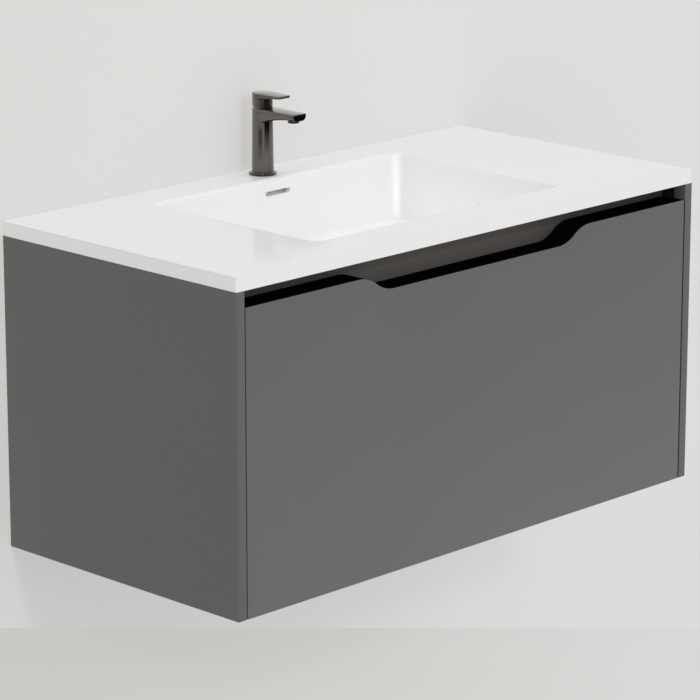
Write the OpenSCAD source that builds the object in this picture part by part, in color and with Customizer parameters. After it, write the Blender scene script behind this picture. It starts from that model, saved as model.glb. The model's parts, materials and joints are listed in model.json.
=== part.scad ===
// Floating vanity: a wall-hung cabinet with one wide drawer, a cast basin top and a lever tap.
// X runs across the width, the wall is the plane Y = 0 and the front looks along -Y, Z is up.
// The origin lies on the wall, midway between the fixing holes of the two wall plates.

/* [Cabinet] */
// Width over the two side panels
cab_w = 1000; // [800:10:1200]
// Depth from the wall to the front
cab_d = 500; // [460:5:560]
// Height of the side panels
cab_h = 485; // [440:5:560]
// Thickness of the side panels, the bottom and the rails
panel_t = 16; // [15:1:19]
// Space for pipes between the wall and the rails at the back
service_gap = 18; // [14:1:30]
// Height of the two rails at the back
back_rail_h = 100; // [90:5:130]
// Height of the rail behind the finger gap
front_rail_h = 80; // [60:5:100]
// Width of the notch in the upper back rail under the tap
tap_notch_w = 130; // [100:5:200]
// Depth of that notch
tap_notch_h = 45; // [35:1:55]

/* [Drawer front] */
// Thickness of the lacquered front
front_t = 22; // [18:1:25]
// Thickness of the black inner front
inner_t = 22; // [16:1:25]
// Gap from the underside of the basin top to the upper edge of the front
pull_gap = 25; // [20:1:35]
// Depth of the scoop in that edge
scoop_h = 25; // [15:1:35]
// Distance between the middles of the two flanks of the scoop
scoop_w = 436; // [300:2:520]
// Radius of both arcs of each flank
scoop_r = 60; // [40:1:90]
// Groove between the front and each side panel
front_reveal = 2; // [1.5:0.5:4]
// Clearance between the inner front and each side panel
inner_reveal = 3; // [2.5:0.5:5]
// Gap between the inner front and the front rail
closing_gap = 3; // [2:0.5:5]

/* [Drawer box] */
// Gap between the drawer box and the rails at the back
back_gap = 22; // [15:1:60]
// Height of the drawer sides and back
side_h = 180; // [140:5:200]
// Thickness of the drawer sides, back and bottom
board_t = 16; // [12:1:16]
// Clearance between a drawer side and a side panel
side_gap = 5; // [4.5:0.5:7]
// Clearance between the drawer sides and the cabinet bottom
drawer_lift = 13; // [12:1:20]
// Width of the notch for the trap in the drawer back
trap_notch_w = 220; // [160:10:300]
// Depth of that notch
trap_notch_h = 90; // [60:5:120]
// Corner radius of that notch
trap_notch_r = 30; // [15:1:40]

/* [Basin top] */
// Thickness of the slab at its edges
slab_t = 22; // [18:1:30]
// Radius on the upper edge of the slab
slab_edge_r = 1.2; // [0.8:0.1:3]
// Width of the bowl between its walls
bowl_w = 536; // [420:2:600]
// Depth of the bowl below the slab top
bowl_depth = 110; // [90:1:125]
// Upright corner radius of the bowl
bowl_corner_r = 16; // [14:1:40]
// Radius where the bowl walls meet the floor
bowl_floor_r = 8; // [5:1:12]
// Radius of the soft rim
bowl_rim_r = 5; // [3:0.5:8]
// Wall thickness of the bowl
bowl_wall = 9; // [8:0.5:11]
// Fall of the floor towards the waste
floor_fall = 6; // [4:0.5:8]
// Gap between the front rail and the bowl
bowl_clear = 2; // [1.5:0.5:6]

/* [Overflow and waste] */
// Width of the overflow slot
slot_w = 53; // [40:1:60]
// Height of the overflow slot
slot_h = 8; // [6:0.5:9]
// Depth of the middle of the slot below the slab top
slot_drop = 24; // [24:1:32]
// Clear depth of the overflow duct
duct_gap = 6; // [5:0.5:6.5]
// Wall of the overflow duct
duct_wall = 2; // [1.5:0.25:2.5]
// Clear height of the duct under the bowl
duct_h = 10; // [8:0.5:14]
// Diameter of the hole through the bowl floor
drain_d = 45; // [44:0.5:48]
// Diameter of the threaded waste tube
waste_d = 41.9; // [40:0.1:43]
// Bore of the waste tube
waste_bore_d = 36; // [34:0.5:37]
// Depth of its thread: in the nut the tube counts at its pitch diameter, so it is slimmer there
thread_depth = 1.4; // [1.2:0.1:1.5]
// Diameter of the waste flange
waste_flange_d = 66; // [62:1:70]
// Thickness of the waste flange
waste_flange_t = 2.5; // [2:0.25:4]
// Thickness of the gasket under that flange
gasket_t = 1.5; // [1:0.25:2.5]
// Thickness of the rubber seal above the nut
seal_t = 6; // [4:0.5:8]
// Thickness of the waste nut
waste_nut_t = 10; // [8:0.5:14]
// Free length of the waste tube below the nut
tail_l = 28; // [24:1:50]
// Travel of the push-to-close plug
plug_travel = 8; // [6:0.5:8]
// Diameter of the plug
plug_d = 62; // [58:1:64]
// Diameter of the plug stem
stem_d = 8; // [6:0.5:10]

/* [Tap] */
// Distance of the tap axis from the wall
tap_back = 40; // [36:1:50]
// Diameter of the tap hole
tap_hole_d = 34; // [32:0.5:36]
// Diameter of the flange at the foot of the tap
foot_d = 44; // [42:1:50]
// Height of that flange
foot_h = 4; // [3:0.5:6]
// Thickness of the rubber ring let into the underside of the foot
base_seal_t = 0.8; // [0.6:0.1:1.5]
// Diameter of the tap body at the foot
body_d_low = 35.2; // [34:0.1:38]
// Diameter of the tap body under the lever
body_d_top = 32.6; // [32:0.1:34]
// Height of the tap body above the deck
body_h = 106.5; // [100:0.5:125]
// Reach of the spout from the tap axis to its tip
spout_reach = 83; // [75:1:110]
// Width of the spout tip
spout_tip_w = 27.4; // [25:0.1:30]
// Height of the spout tip
spout_tip_h = 11; // [10:0.5:14]
// Extra height of the spout where it leaves the body
spout_sweep = 15; // [8:0.5:18]
// Diameter of the aerator
aerator_d = 18; // [16:0.5:20]
// How far the aerator shows below the spout
aerator_show = 3.5; // [3:0.5:6]
// Height of the lever cap, from the joint line to the flat top
lever_h = 24; // [22:0.5:28]
// Reach of the lever from the tap axis to its tip
lever_reach = 50; // [42:1:64]
// Width of the lever tip
lever_tip_w = 25.6; // [20:0.1:28]
// Thickness of the lever tip
lever_tip_t = 3.6; // [2.4:0.1:4]
// Thickness of the lever where it leaves its cap
blade_root_t = 7; // [5:0.5:9]
// Angle through which the lever lifts
lever_lift = 18; // [10:1:20]
// Gap between the tap body and the lever cap
joint_gap = 0.5; // [0.4:0.1:1]

/* [Runners] */
// Sheet thickness of the runner sections
runner_t = 1.5; // [1.2:0.1:2]
// Width of the fixed and the drawer section
runner_w = 29; // [28:0.5:31]
// Height of each half of the runner
runner_h = 13; // [12.5:0.25:14]
// Diameter of the bearing balls
ball_d = 3; // [2.6:0.1:3.2]
// Length of the ball cages
cage_l = 200; // [160:5:205]
// Distance between the balls of one row
ball_pitch = 25; // [20:1:40]
// Distance from the side panel to the middle of the runner
runner_inset = 38; // [37:0.5:42]

/* [Wall hanging] */
// Height of the middle of the fixing holes below the cabinet top
fix_drop = 65; // [60:1:80]
// Distance between the fixing holes of one wall plate
fix_pitch_z = 32; // [28:1:36]
// Width of a wall plate
plate_w = 56; // [48:1:64]
// Sheet thickness of a wall plate
plate_t = 2.5; // [2:0.1:3]
// Diameter of the fixing holes
fix_hole_d = 6.5; // [5.5:0.1:8]
// Depth of the hook channel of a wall plate
channel_d = 8; // [7:0.5:10]
// Width of a hanger housing
hanger_w = 18; // [16:0.5:22]
// Depth of a hanger housing
hanger_d = 42; // [38:1:50]
// Height of a hanger housing
hanger_h = 68; // [64:1:74]
// Thickness of the hanger hook
hook_t = 3; // [2.5:0.1:4]

/* [Fixings] */
// Diameter of the wooden dowels
dowel_d = 8; // [6:0.5:8]
// Length of the wooden dowels
dowel_l = 30; // [25:1:35]
// Diameter of the cam housings
cam_d = 15; // [12:0.5:16]
// Depth of the cam housings
cam_h = 12.5; // [10.5:0.5:13]
// Distance from a panel end to the middle of its cam
cam_inset = 34; // [24:1:34]
// Distance of the front cams of the bottom panel behind the lacquered front
cam_front = 52; // [40:1:70]
// Distance of its back cams from the wall
cam_back = 90; // [80:1:110]
// Distance of its outer dowels from the cams beside them
dowel_step = 32; // [24:1:40]
// Diameter of the cam bolts
bolt_d = 6; // [5:0.5:7]
// Depth of the cam bolts in the side panel
bolt_in = 10; // [8:0.5:11]
// Depth of the dowels in the side panel
dowel_in = 11; // [9:0.5:12]
// Diameter of the chipboard screws
screw_d = 4; // [3.5:0.1:5]
// Length of the chipboard screws
screw_l = 32; // [28:1:34]
// Radial clearance of fixings in their holes
fit = 0.1; // [0.05:0.01:0.1]

/* [Hidden] */
// Smallest gap between pieces that move against each other
run_gap = 0.4;
// Radial play of a pin in its hole
pin_fit = 0.05;
// How far a cut runs past the face that it leaves
past = 1;
$fn = 64;

// Levels
z_top = fix_drop;
z_bot = z_top - cab_h;
z_floor = z_bot + panel_t;
z_slab = z_top + slab_t;
z_front = z_top - pull_gap;

// Planes behind one another, from the front to the wall
y_front = -cab_d;
y_inner = y_front + front_t;
y_inner_back = y_inner + inner_t;
y_rail = y_inner_back + closing_gap;
y_bowl_front = y_rail + panel_t + bowl_clear + bowl_wall;
y_rail_back = -service_gap - panel_t;

// Planes across the width
x_in = cab_w / 2 - panel_t;
x_side = x_in - side_gap;
x_board = x_side - board_t;
x_run = x_in - runner_inset;

// Bowl
deck_land = 17;
y_bowl_back = -(tap_back + tap_hole_d / 2 + deck_land);
bowl_d = y_bowl_back - y_bowl_front;
bowl_y = (y_bowl_back + y_bowl_front) / 2;
bowl_floor_t = 9;
bowl_out_h = bowl_depth + floor_fall + bowl_floor_t;
z_bowl_floor = z_slab - bowl_depth;
z_drain = z_bowl_floor - floor_fall;
z_bowl_low = z_slab - bowl_out_h;

// Overflow duct
y_duct = y_bowl_back + bowl_wall;
y_duct_out = y_duct + duct_gap + duct_wall;
duct_w = slot_w + 5;
duct_out_w = duct_w + 2 * duct_wall;
z_slot = z_slab - slot_drop;
z_duct_low = z_bowl_low - duct_h - duct_wall;
collar_d = waste_flange_d + 10;

// Waste
z_flange = z_drain + gasket_t;
z_flange_top = z_flange + waste_flange_t;
z_seal = z_duct_low - seal_t;
z_waste_nut = z_seal - waste_nut_t;
z_tail = z_waste_nut - tail_l;
holder_h = 20;
holder_ring_h = 8;
z_holder = z_bowl_low - 2 * duct_wall - holder_h;
hub_d = stem_d + 8;
shank_d = waste_d - thread_depth;
tail_land = tail_l - 1;

// Tap, measured up from the deck
z_joint = z_slab + body_h;
spigot_h = 6;
spigot_bore_d = 27;
spigot_bore_h = 1.5;
base_seal_d = foot_d - 4;
inlet_d = 10;
inlet_l = 12;
inlet_x = 7.5;
way_d = 5;
lead_d = 6;
lead_in = 8;
grub_z = 14;
grub_d = 5;
grub_l = 7;
stud_d = 8;
stud_y = 10;
stud_l = 58;
clamp_rubber_t = 2;
clamp_plate_t = 2.5;
chamber_d = 26;
chamber_h = 38.5;
nut_bore_d = 29;
nut_bore_h = 12.5;
neck_d = 20.6;
neck_h = 14;
rotor_d = 14.9;
rotor_top = 5.5;
z_pivot = z_joint - 0.5;
pivot_d = 3;
spindle_w = 6;
spindle_top = 17.5;
slot_half = 5.6;
cap_d = body_d_top + 0.2;
cap_wall = 2;
cap_hollow_h = 10.5;
spout_mouth = spout_reach - aerator_d / 2 - 5;
aerator_neck_d = aerator_d - 1;
spout_power = 2.2;

// Runner levels
z_run = z_floor + 2;
flange_t = 2;
flange_h = 38;
z_run_low = z_run + flange_t;
z_run_mid = z_run_low + runner_h;
split_gap = 1.5;
z_run_top = z_run_mid + split_gap + runner_h;
side_l = y_rail_back - back_gap - y_inner_back;
runner_l = side_l;
y_run_back = y_rail + runner_l + past;
z_board = z_run_top;
z_side_low = z_floor + drawer_lift;
z_side_top = z_side_low + side_h;
groove = 6;
buffer_in = 40;
buffer_up = 12;
buffer_d = 8;
y_side_back = y_inner_back + side_l;
race = ball_d + 2 * fit;
lip = 3;
cage_t = 1.2;
bulb_under = 1.6;
bulb_over = 1.4;

// Wall plate and hanger
plate_x = x_in - 4 - plate_w / 2;
plate_low = -fix_pitch_z / 2 - 14;
channel_z = fix_pitch_z / 2 + 8;
lip_h = 10;
hook_front = 10;
hook_back = 6;
hook_plate_h = 44;
hook_play = 0.5;
adjuster_d = 5;
adjuster_head_d = 8;
z_hook = channel_z + lip_h;
hook_h = 8;
hanger_z = z_hook + hook_h + 12 - hanger_h;
y_hanger = y_rail_back - hanger_d;
hanger_mid = x_in - hanger_w / 2;

// Places of the joints between the panels, along the edges that they share
bottom_cams = [y_inner + cam_front, -cam_back];
bottom_dowels = [y_inner + cam_front + dowel_step, y_front / 2, -cam_back - dowel_step];
rail_cam_z = 0.5;
rail_dowel_z = 0.13;
screw_head_d = 2 * screw_d;

// ---------------------------------------------------------------- shared shapes

// A box given by its low and its high corner
module span(low, high) {
    translate(low)
        cube(high - low);
}

// A rectangle with true arcs at its corners
module rounded_rect(w, h, r) {
    square([w - 2 * r, h], center = true);
    square([w, h - 2 * r], center = true);
    for (sx = [-1, 1], sy = [-1, 1])
        translate([sx * (w / 2 - r), sy * (h / 2 - r)])
            circle(r);
}

// Half of the cross-section of a pan: a wall at x = reach, rounded into the floor by r_low
// and flared outwards at the rim by r_rim
module pan_profile(reach, h, r_low, r_rim) {
    difference() {
        square([reach, h]);
        translate([reach - r_low, 0])
            difference() {
                square(r_low);
                translate([0, r_low])
                    circle(r_low);
            }
    }
    if (r_rim > 0)
        translate([reach, h - r_rim])
            difference() {
                square(r_rim);
                translate([r_rim, 0])
                    circle(r_rim);
            }
}

module pan_section(reach, h, r_low, r_rim) {
    pan_profile(reach, h, r_low, r_rim);
    mirror([1, 0])
        pan_profile(reach, h, r_low, r_rim);
}

// A rectangular pan with upright corners of radius r, standing on z = 0
module pan(w, d, h, r, r_low, r_rim) {
    rotate([90, 0, 90])
        linear_extrude(w - 2 * r, center = true)
            pan_section(d / 2, h, r_low, r_rim);
    rotate([90, 0, 0])
        linear_extrude(d - 2 * r, center = true)
            pan_section(w / 2, h, r_low, r_rim);
    for (quarter = [[1, 1, 0], [-1, 1, 90], [-1, -1, 180], [1, -1, 270]])
        translate([quarter.x * (w / 2 - r), quarter.y * (d / 2 - r), 0])
            rotate(quarter.z)
                rotate_extrude(angle = 90)
                    pan_profile(r, h, r_low, r_rim);
}

// A cylinder along X, Y or Z from a point, with its length going the positive way
module rod_x(p, l, d) {
    translate(p)
        rotate([0, 90, 0])
            cylinder(h = l, d = d);
}

module rod_y(p, l, d) {
    translate(p)
        rotate([-90, 0, 0])
            cylinder(h = l, d = d);
}

module rod_z(p, l, d) {
    translate(p)
        cylinder(h = l, d = d);
}

// Both of a mirrored pair
module both_sides() {
    children();
    mirror([1, 0, 0])
        children();
}

// ---------------------------------------------------------------- carcass joints

// Places of the fixings on the right-hand panel face: [y, z]
function cam_places() = concat(
    [for (y = bottom_cams) [y, z_bot + panel_t / 2]],
    [[rail_mid(), z_top - rail_cam_z * back_rail_h],
     [rail_mid(), z_floor + rail_cam_z * back_rail_h],
     [y_rail + panel_t / 2, z_top - rail_cam_z * front_rail_h]]);
function dowel_places() = concat(
    [for (y = bottom_dowels) [y, z_bot + panel_t / 2]],
    [for (s = [rail_dowel_z, 1 - rail_dowel_z]) [rail_mid(), z_top - s * back_rail_h]],
    [for (s = [rail_dowel_z, 1 - rail_dowel_z]) [rail_mid(), z_floor + s * back_rail_h]],
    [for (s = [rail_dowel_z, 1 - rail_dowel_z]) [y_rail + panel_t / 2, z_top - s * front_rail_h]]);
function rail_mid() = -service_gap - panel_t / 2;

// The dowels of one side, or their holes when grown
module dowel_set(grow) {
    for (p = dowel_places())
        rod_x([x_in + dowel_in - dowel_l - grow, p.x, p.y], dowel_l + 2 * grow,
            dowel_d + 2 * grow);
}

// The cam bolts of one side: each ends in the side panel, with its head in the middle of the cam
module bolt_set(grow) {
    head_d = bolt_d + 1;
    head_t = 3;
    for (p = cam_places()) {
        rod_x([x_in - cam_inset + 1, p.x, p.y], cam_inset - 1 + bolt_in + grow,
            bolt_d + 2 * grow);
        rod_x([x_in - cam_inset - head_t / 2 - 0.5 - grow, p.x, p.y], head_t + 2 * grow,
            head_d + 2 * grow);
    }
}

// Turns a cam so that its driver slot looks into the cabinet
module at_cam(i, p) {
    flat = len(bottom_cams);
    translate([x_in - cam_inset, p.x, p.y])
        if (i < flat)
            translate([0, 0, panel_t / 2])
                children();
        else if (i < flat + 2)
            translate([0, -panel_t / 2, 0])
                rotate([90, 0, 0])
                    children();
        else
            translate([0, panel_t / 2, 0])
                rotate([-90, 0, 0])
                    children();
}

module cam_set(grow) {
    places = cam_places();
    for (i = [0:len(places) - 1])
        at_cam(i, places[i])
            translate([0, 0, -cam_h - grow])
                cylinder(h = cam_h + grow + (grow > 0 ? past : 0), d = cam_d + 2 * grow);
}

module cams() {
    places = cam_places();
    difference() {
        cam_set(0);
        bolt_set(0.5);
        for (i = [0:len(places) - 1])
            at_cam(i, places[i])
                for (a = [0, 90])
                    rotate(a)
                        translate([0, 0, -1])
                            cube([cam_d * 0.6, 1.6, 3], center = true);
    }
}

module carcass_holes() {
    both_sides() {
        dowel_set(fit);
        bolt_set(fit + 0.5);
        cam_set(fit);
    }
}

// ---------------------------------------------------------------- carcass

module side_panel() {
    difference() {
        span([x_in, y_front, z_bot], [cab_w / 2, 0, z_top]);
        dowel_set(fit);
        bolt_set(fit);
        hanger_screw_set(fit);
        runner_screw_set(fit);
    }
}

module side_panel_left() {
    color("#5b5b5b")
        mirror([1, 0, 0])
            side_panel();
}

module side_panel_right() {
    color("#5b5b5b")
        side_panel();
}

module bottom_panel() {
    color("#5b5b5b")
        difference() {
            span([-x_in, y_inner + 2, z_bot], [x_in, -service_gap, z_floor]);
            carcass_holes();
        }
}

module back_rail_top() {
    notch_r = 20;
    color("#4a4846")
        difference() {
            span([-x_in, y_rail_back, z_top - back_rail_h], [x_in, -service_gap, z_top]);
            carcass_holes();
            translate([0, y_rail_back - past, z_top])
                rotate([-90, 0, 0])
                    linear_extrude(panel_t + 2 * past)
                        rounded_rect(tap_notch_w, 2 * tap_notch_h, notch_r);
            both_sides()
                span([hanger_mid - hook_t / 2 - 2, y_rail_back - past, z_hook - 3],
                    [hanger_mid + hook_t / 2 + 2, -service_gap + past, z_hook + hook_h + 3]);
        }
}

module back_rail_bottom() {
    color("#4a4846")
        difference() {
            span([-x_in, y_rail_back, z_floor], [x_in, -service_gap, z_floor + back_rail_h]);
            carcass_holes();
        }
}

module front_rail() {
    color("#585451")
        difference() {
            span([-x_in, y_rail, z_top - front_rail_h], [x_in, y_rail + panel_t, z_top]);
            carcass_holes();
        }
}

module carcass_dowels() {
    color("#c8a878")
        both_sides()
            dowel_set(0);
}

module carcass_cams() {
    color("#b4b4b4")
        both_sides()
            cams();
}

module carcass_cam_bolts() {
    color("#c8b070")
        both_sides()
            bolt_set(0);
}

// ---------------------------------------------------------------- wall hanging

// Cross-section of a wall plate in Y and Z: flat on the wall, with a channel for the hook
module plate_section() {
    translate([-plate_t, plate_low])
        square([plate_t, channel_z - plate_low]);
    translate([-plate_t - channel_d, channel_z - plate_t])
        square([channel_d + plate_t, plate_t]);
    translate([-plate_t - channel_d, channel_z - plate_t])
        square([plate_t, lip_h + plate_t]);
}

module wall_plate() {
    difference() {
        translate([plate_x, 0, 0])
            rotate([90, 0, 90])
                linear_extrude(plate_w, center = true)
                    plate_section();
        for (s = [-1, 1])
            rod_y([plate_x, -plate_t - past, s * fix_pitch_z / 2], plate_t + 2 * past,
                fix_hole_d);
    }
}

module wall_plates() {
    color("#a8a8a6")
        both_sides()
            wall_plate();
}

// Cross-section of a hook in Y and Z: a plate in the housing, an arm and a finger
module hook_section() {
    finger_w = channel_d - plate_t - 1.2;
    y_finger = -plate_t - 0.6 - finger_w;
    translate([y_hanger + hook_front, z_hook + hook_h - hook_plate_h])
        square([hanger_d - hook_front - hook_back, hook_plate_h]);
    translate([y_hanger + hook_front, z_hook])
        square([y_finger + finger_w - y_hanger - hook_front, hook_h]);
    translate([y_finger, z_hook - lip_h + 2])
        square([finger_w, lip_h + hook_h - 2]);
}

module hook(grow) {
    translate([hanger_mid, 0, 0])
        rotate([90, 0, 90])
            linear_extrude(hook_t + 2 * grow, center = true)
                hook_section();
}

module hanger_hooks() {
    color("#b8b8b4")
        both_sides()
            hook(0);
}

// The two screws that hold a housing to the side panel, clear of the hook
function hanger_screw_z() = [hanger_z + 5, hanger_z + hanger_h - 5];
module hanger_screw_set(grow) {
    for (z = hanger_screw_z()) {
        rod_x([x_in - hanger_w + 3, y_hanger + hanger_d / 2, z], hanger_w + 8 + grow,
            screw_d + 2 * grow);
        rod_x([x_in - hanger_w + 1 - grow, y_hanger + hanger_d / 2, z], 2 + grow,
            screw_head_d + 2 * grow);
    }
}

// The two adjusting screws that bear on the hook from the front
function adjuster_z() = [z_hook - 24, z_hook + 2];
module adjuster_set(grow) {
    for (z = adjuster_z()) {
        rod_y([hanger_mid, y_hanger + 3, z], hook_front - 3, adjuster_d + 2 * grow);
        rod_y([hanger_mid, y_hanger + 1 - grow, z], 2 + grow, adjuster_head_d + 2 * grow);
    }
}

module hanger() {
    difference() {
        translate([hanger_mid, y_hanger + hanger_d / 2, hanger_z])
            linear_extrude(hanger_h)
                rounded_rect(hanger_w, hanger_d, 2);
        translate([hanger_mid, 0, 0])
            span([-hook_t / 2 - hook_play, y_hanger + hook_front - 0.3,
                    z_hook + hook_h - hook_plate_h - 2 * hook_play],
                [hook_t / 2 + hook_play, y_rail_back + past, z_hook + hook_h + 2 * hook_play]);
        hanger_screw_set(fit);
        for (z = hanger_screw_z())
            rod_x([x_in - hanger_w - past, y_hanger + hanger_d / 2, z], 2 + past,
                screw_head_d + 2 * fit);
        adjuster_set(fit);
        for (z = adjuster_z())
            rod_y([hanger_mid, y_hanger - past, z], 2 + past, adjuster_head_d + 2 * fit);
    }
}

module hanger_left() {
    color("#d8d6d0")
        mirror([1, 0, 0])
            hanger();
}

module hanger_right() {
    color("#d8d6d0")
        hanger();
}

module hanger_adjusters() {
    color("#c8b070")
        both_sides()
            adjuster_set(0);
}

module hanger_screws() {
    color("#b4b4b4")
        both_sides()
            hanger_screw_set(0);
}

// ---------------------------------------------------------------- basin top

module bowl_outside() {
    translate([0, bowl_y, z_bowl_low])
        pan(bowl_w + 2 * bowl_wall, bowl_d + 2 * bowl_wall, bowl_out_h - slab_t + past,
            bowl_corner_r + bowl_wall, bowl_floor_r + bowl_wall, 0);
}

module overflow_cut() {
    translate([0, y_bowl_back - 2 * bowl_rim_r, z_slot])
        rotate([-90, 0, 0])
            linear_extrude(2 * bowl_rim_r + bowl_wall + duct_gap)
                rounded_rect(slot_w, slot_h, slot_h / 2 - 0.6);
}

module basin_top() {
    corner_r = 3;
    fall_r = bowl_d / 2 - bowl_floor_r;
    color("#e8e7e5")
        difference() {
            union() {
                translate([0, y_front / 2, z_slab])
                    mirror([0, 0, 1])
                        pan(cab_w, cab_d, slab_t, corner_r, slab_edge_r, 0);
                bowl_outside();
            }
            translate([0, bowl_y, z_bowl_floor])
                pan(bowl_w, bowl_d, bowl_depth, bowl_corner_r, bowl_floor_r, bowl_rim_r);
            translate([0, bowl_y, z_drain])
                cylinder(h = floor_fall, r1 = 0, r2 = fall_r);
            rod_z([0, bowl_y, z_drain], floor_fall, waste_flange_d + 4);
            rod_z([0, bowl_y, z_bowl_low - past], floor_fall + bowl_floor_t, drain_d);
            rod_z([0, -tap_back, z_top - past], slab_t + 2 * past, tap_hole_d);
            overflow_cut();
        }
}

// The duct is glued to the back and the underside of the bowl
module overflow_duct() {
    run_l = y_duct_out - bowl_y;
    inner_l = run_l - duct_wall;
    color("#c9c9c6")
        difference() {
            union() {
                span([-duct_out_w / 2, bowl_y, z_duct_low], [duct_out_w / 2, y_duct_out, z_top]);
                rod_z([0, bowl_y, z_duct_low], duct_h + duct_wall, collar_d);
            }
            span([-duct_w / 2, bowl_y, z_duct_low + duct_wall],
                [duct_w / 2, bowl_y + inner_l, z_top + past]);
            rod_z([0, bowl_y, z_duct_low + duct_wall], duct_h + past, collar_d - 2 * duct_wall);
            rod_z([0, bowl_y, z_duct_low - past], duct_wall + 2 * past, waste_d + 0.8);
            bowl_outside();
        }
}

// ---------------------------------------------------------------- waste

module waste_body() {
    port_w = 12;
    color("#9a9a98")
        difference() {
            union() {
                rod_z([0, bowl_y, z_flange], waste_flange_t, waste_flange_d);
                rod_z([0, bowl_y, z_tail], tail_land, waste_d);
                rod_z([0, bowl_y, z_tail], z_flange - z_tail, shank_d);
            }
            rod_z([0, bowl_y, z_tail - past], z_flange_top - z_tail + 2 * past, waste_bore_d);
            translate([0, bowl_y, z_flange_top - 1.5])
                cylinder(h = 1.6, d1 = waste_bore_d, d2 = waste_bore_d + 6);
            for (a = [0, 90])
                translate([0, bowl_y, z_bowl_low - duct_h / 2])
                    rotate(a)
                        cube([port_w, waste_d + 4, duct_h - 3], center = true);
        }
}

module waste_gasket() {
    color("#2a2a2a")
        difference() {
            rod_z([0, bowl_y, z_drain], gasket_t, waste_flange_d - 4);
            rod_z([0, bowl_y, z_drain - past], gasket_t + 2 * past, shank_d + 2 * fit);
        }
}

module waste_seal() {
    low_d = waste_d + 12;
    top_d = waste_d + 20;
    color("#2a2a2a")
        translate([0, bowl_y, z_seal])
            difference() {
                cylinder(h = seal_t, d1 = low_d, d2 = top_d);
                translate([0, 0, -past])
                    cylinder(h = seal_t + 2 * past, d = shank_d + 2 * fit);
            }
}

module waste_nut() {
    wings = 6;
    nut_d = waste_d + 12;
    wing_w = 8;
    wing_out = 3;
    color("#9a9a98")
        translate([0, bowl_y, z_waste_nut])
            difference() {
                union() {
                    cylinder(h = waste_nut_t, d = nut_d);
                    for (i = [0:wings - 1])
                        rotate(i * 360 / wings)
                            translate([nut_d / 2, 0, waste_nut_t / 2])
                                cube([2 * wing_out, wing_w, waste_nut_t], center = true);
                }
                translate([0, 0, -past])
                    cylinder(h = waste_nut_t + 2 * past, d = shank_d + 2 * fit);
            }
}

// Spider that guides the stem in the middle of the tube
module waste_holder() {
    arm_w = 3;
    ring_w = 2;
    ring_d = waste_bore_d - 2 * fit;
    color("#e0e0dc")
        translate([0, bowl_y, z_holder])
            difference() {
                union() {
                    difference() {
                        cylinder(h = holder_ring_h, d = ring_d);
                        translate([0, 0, -past])
                            cylinder(h = holder_ring_h + 2 * past, d = ring_d - 2 * ring_w);
                    }
                    cylinder(h = holder_h, d = hub_d);
                    for (a = [0, 60, 120])
                        rotate(a)
                            translate([0, 0, 3])
                                cube([ring_d - ring_w, arm_w, 6], center = true);
                }
                translate([0, 0, -past])
                    cylinder(h = holder_h + 2 * past, d = stem_d + 2 * pin_fit);
            }
}

// The plug stands open at rest, raised by its travel
module waste_plug() {
    z_plug = z_flange_top + run_gap + plug_travel;
    dome_h = 3;
    disc_t = 2;
    boss_t = 2;
    dome_r = (plug_d * plug_d / 4 + dome_h * dome_h) / (2 * dome_h);
    stem_low = z_holder - 1;
    color("#9a9a98")
        translate([0, bowl_y, 0]) {
            rod_z([0, 0, z_plug], disc_t, plug_d);
            intersection() {
                translate([0, 0, z_plug + disc_t + dome_h - dome_r])
                    sphere(r = dome_r, $fn = 180);
                rod_z([0, 0, z_plug + disc_t - 0.01], dome_h + past, plug_d);
            }
            rod_z([0, 0, stem_low], z_plug - stem_low, stem_d);
            rod_z([0, 0, z_plug - boss_t], boss_t, waste_bore_d - 10);
        }
}

module plug_seal() {
    z_plug = z_flange_top + run_gap + plug_travel;
    ring = 2;
    color("#2a2a2a")
        translate([0, bowl_y, z_plug - ring / 2])
            rotate_extrude()
                translate([waste_bore_d / 2 - 5 + ring / 2, 0])
                    circle(d = ring, $fn = 24);
}

// ---------------------------------------------------------------- tap

// Puts a child on the tap axis, with z = 0 on the deck
module at_tap() {
    translate([0, -tap_back, z_slab])
        children();
}

// Level of the spout's underside at a distance from the axis
function spout_low(f) = body_h - spout_tip_h - spout_sweep * pow(1 - f / spout_reach, spout_power);
function spout_half(f) = spout_tip_w / 2 + (body_d_top - 1.2 - spout_tip_w) / 2 * (1 - f / spout_reach);

// Corner of a spout section: an arc of radius r about a point, from one angle to another
function arc_points(x, z, r, from, to, steps) =
    [for (i = [0:steps]) let (a = from + (to - from) * i / steps) [x + r * cos(a), z + r * sin(a)]];

// Outline of the spout, square to its run: nearly sharp above, with full corners below
function spout_section(f) =
    let (low = spout_low(f), half = spout_half(f), soft = 7.5, edge = 0.8)
        concat(arc_points(half - edge, body_h - edge, edge, 0, 90, 3),
            arc_points(edge - half, body_h - edge, edge, 90, 180, 3),
            arc_points(soft - half, low + soft, soft, 180, 270, 8),
            arc_points(half - soft, low + soft, soft, 270, 360, 8));

// The spout is a loft of such sections
module spout() {
    steps = 14;
    rings = [for (i = [0:steps]) let (f = spout_reach * i / steps)
        [for (p = spout_section(f)) [p.x, -f, p.y]]];
    n = len(rings[0]);
    sides = [for (i = [0:steps - 1], j = [0:n - 1]) let (k = (j + 1) % n)
        each [[i * n + k, i * n + j, (i + 1) * n + k], [(i + 1) * n + k, i * n + j, (i + 1) * n + j]]];
    root = [for (j = [0:n - 1]) j];
    tip = [for (j = [0:n - 1]) steps * n + n - 1 - j];
    polyhedron([for (ring = rings) each ring], concat(sides, [root, tip]));
}

// The foot: a flange with a rounded edge that runs into the body
module foot() {
    r = foot_d / 2;
    bead = foot_h / 2;
    rotate_extrude() {
        square([r - bead, foot_h]);
        translate([r - bead, bead])
            circle(bead);
        translate([body_d_low / 2 - 1, foot_h])
            difference() {
                square([2.5, 1.5]);
                translate([2.5, 1.5])
                    circle(1.5);
            }
    }
}

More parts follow.
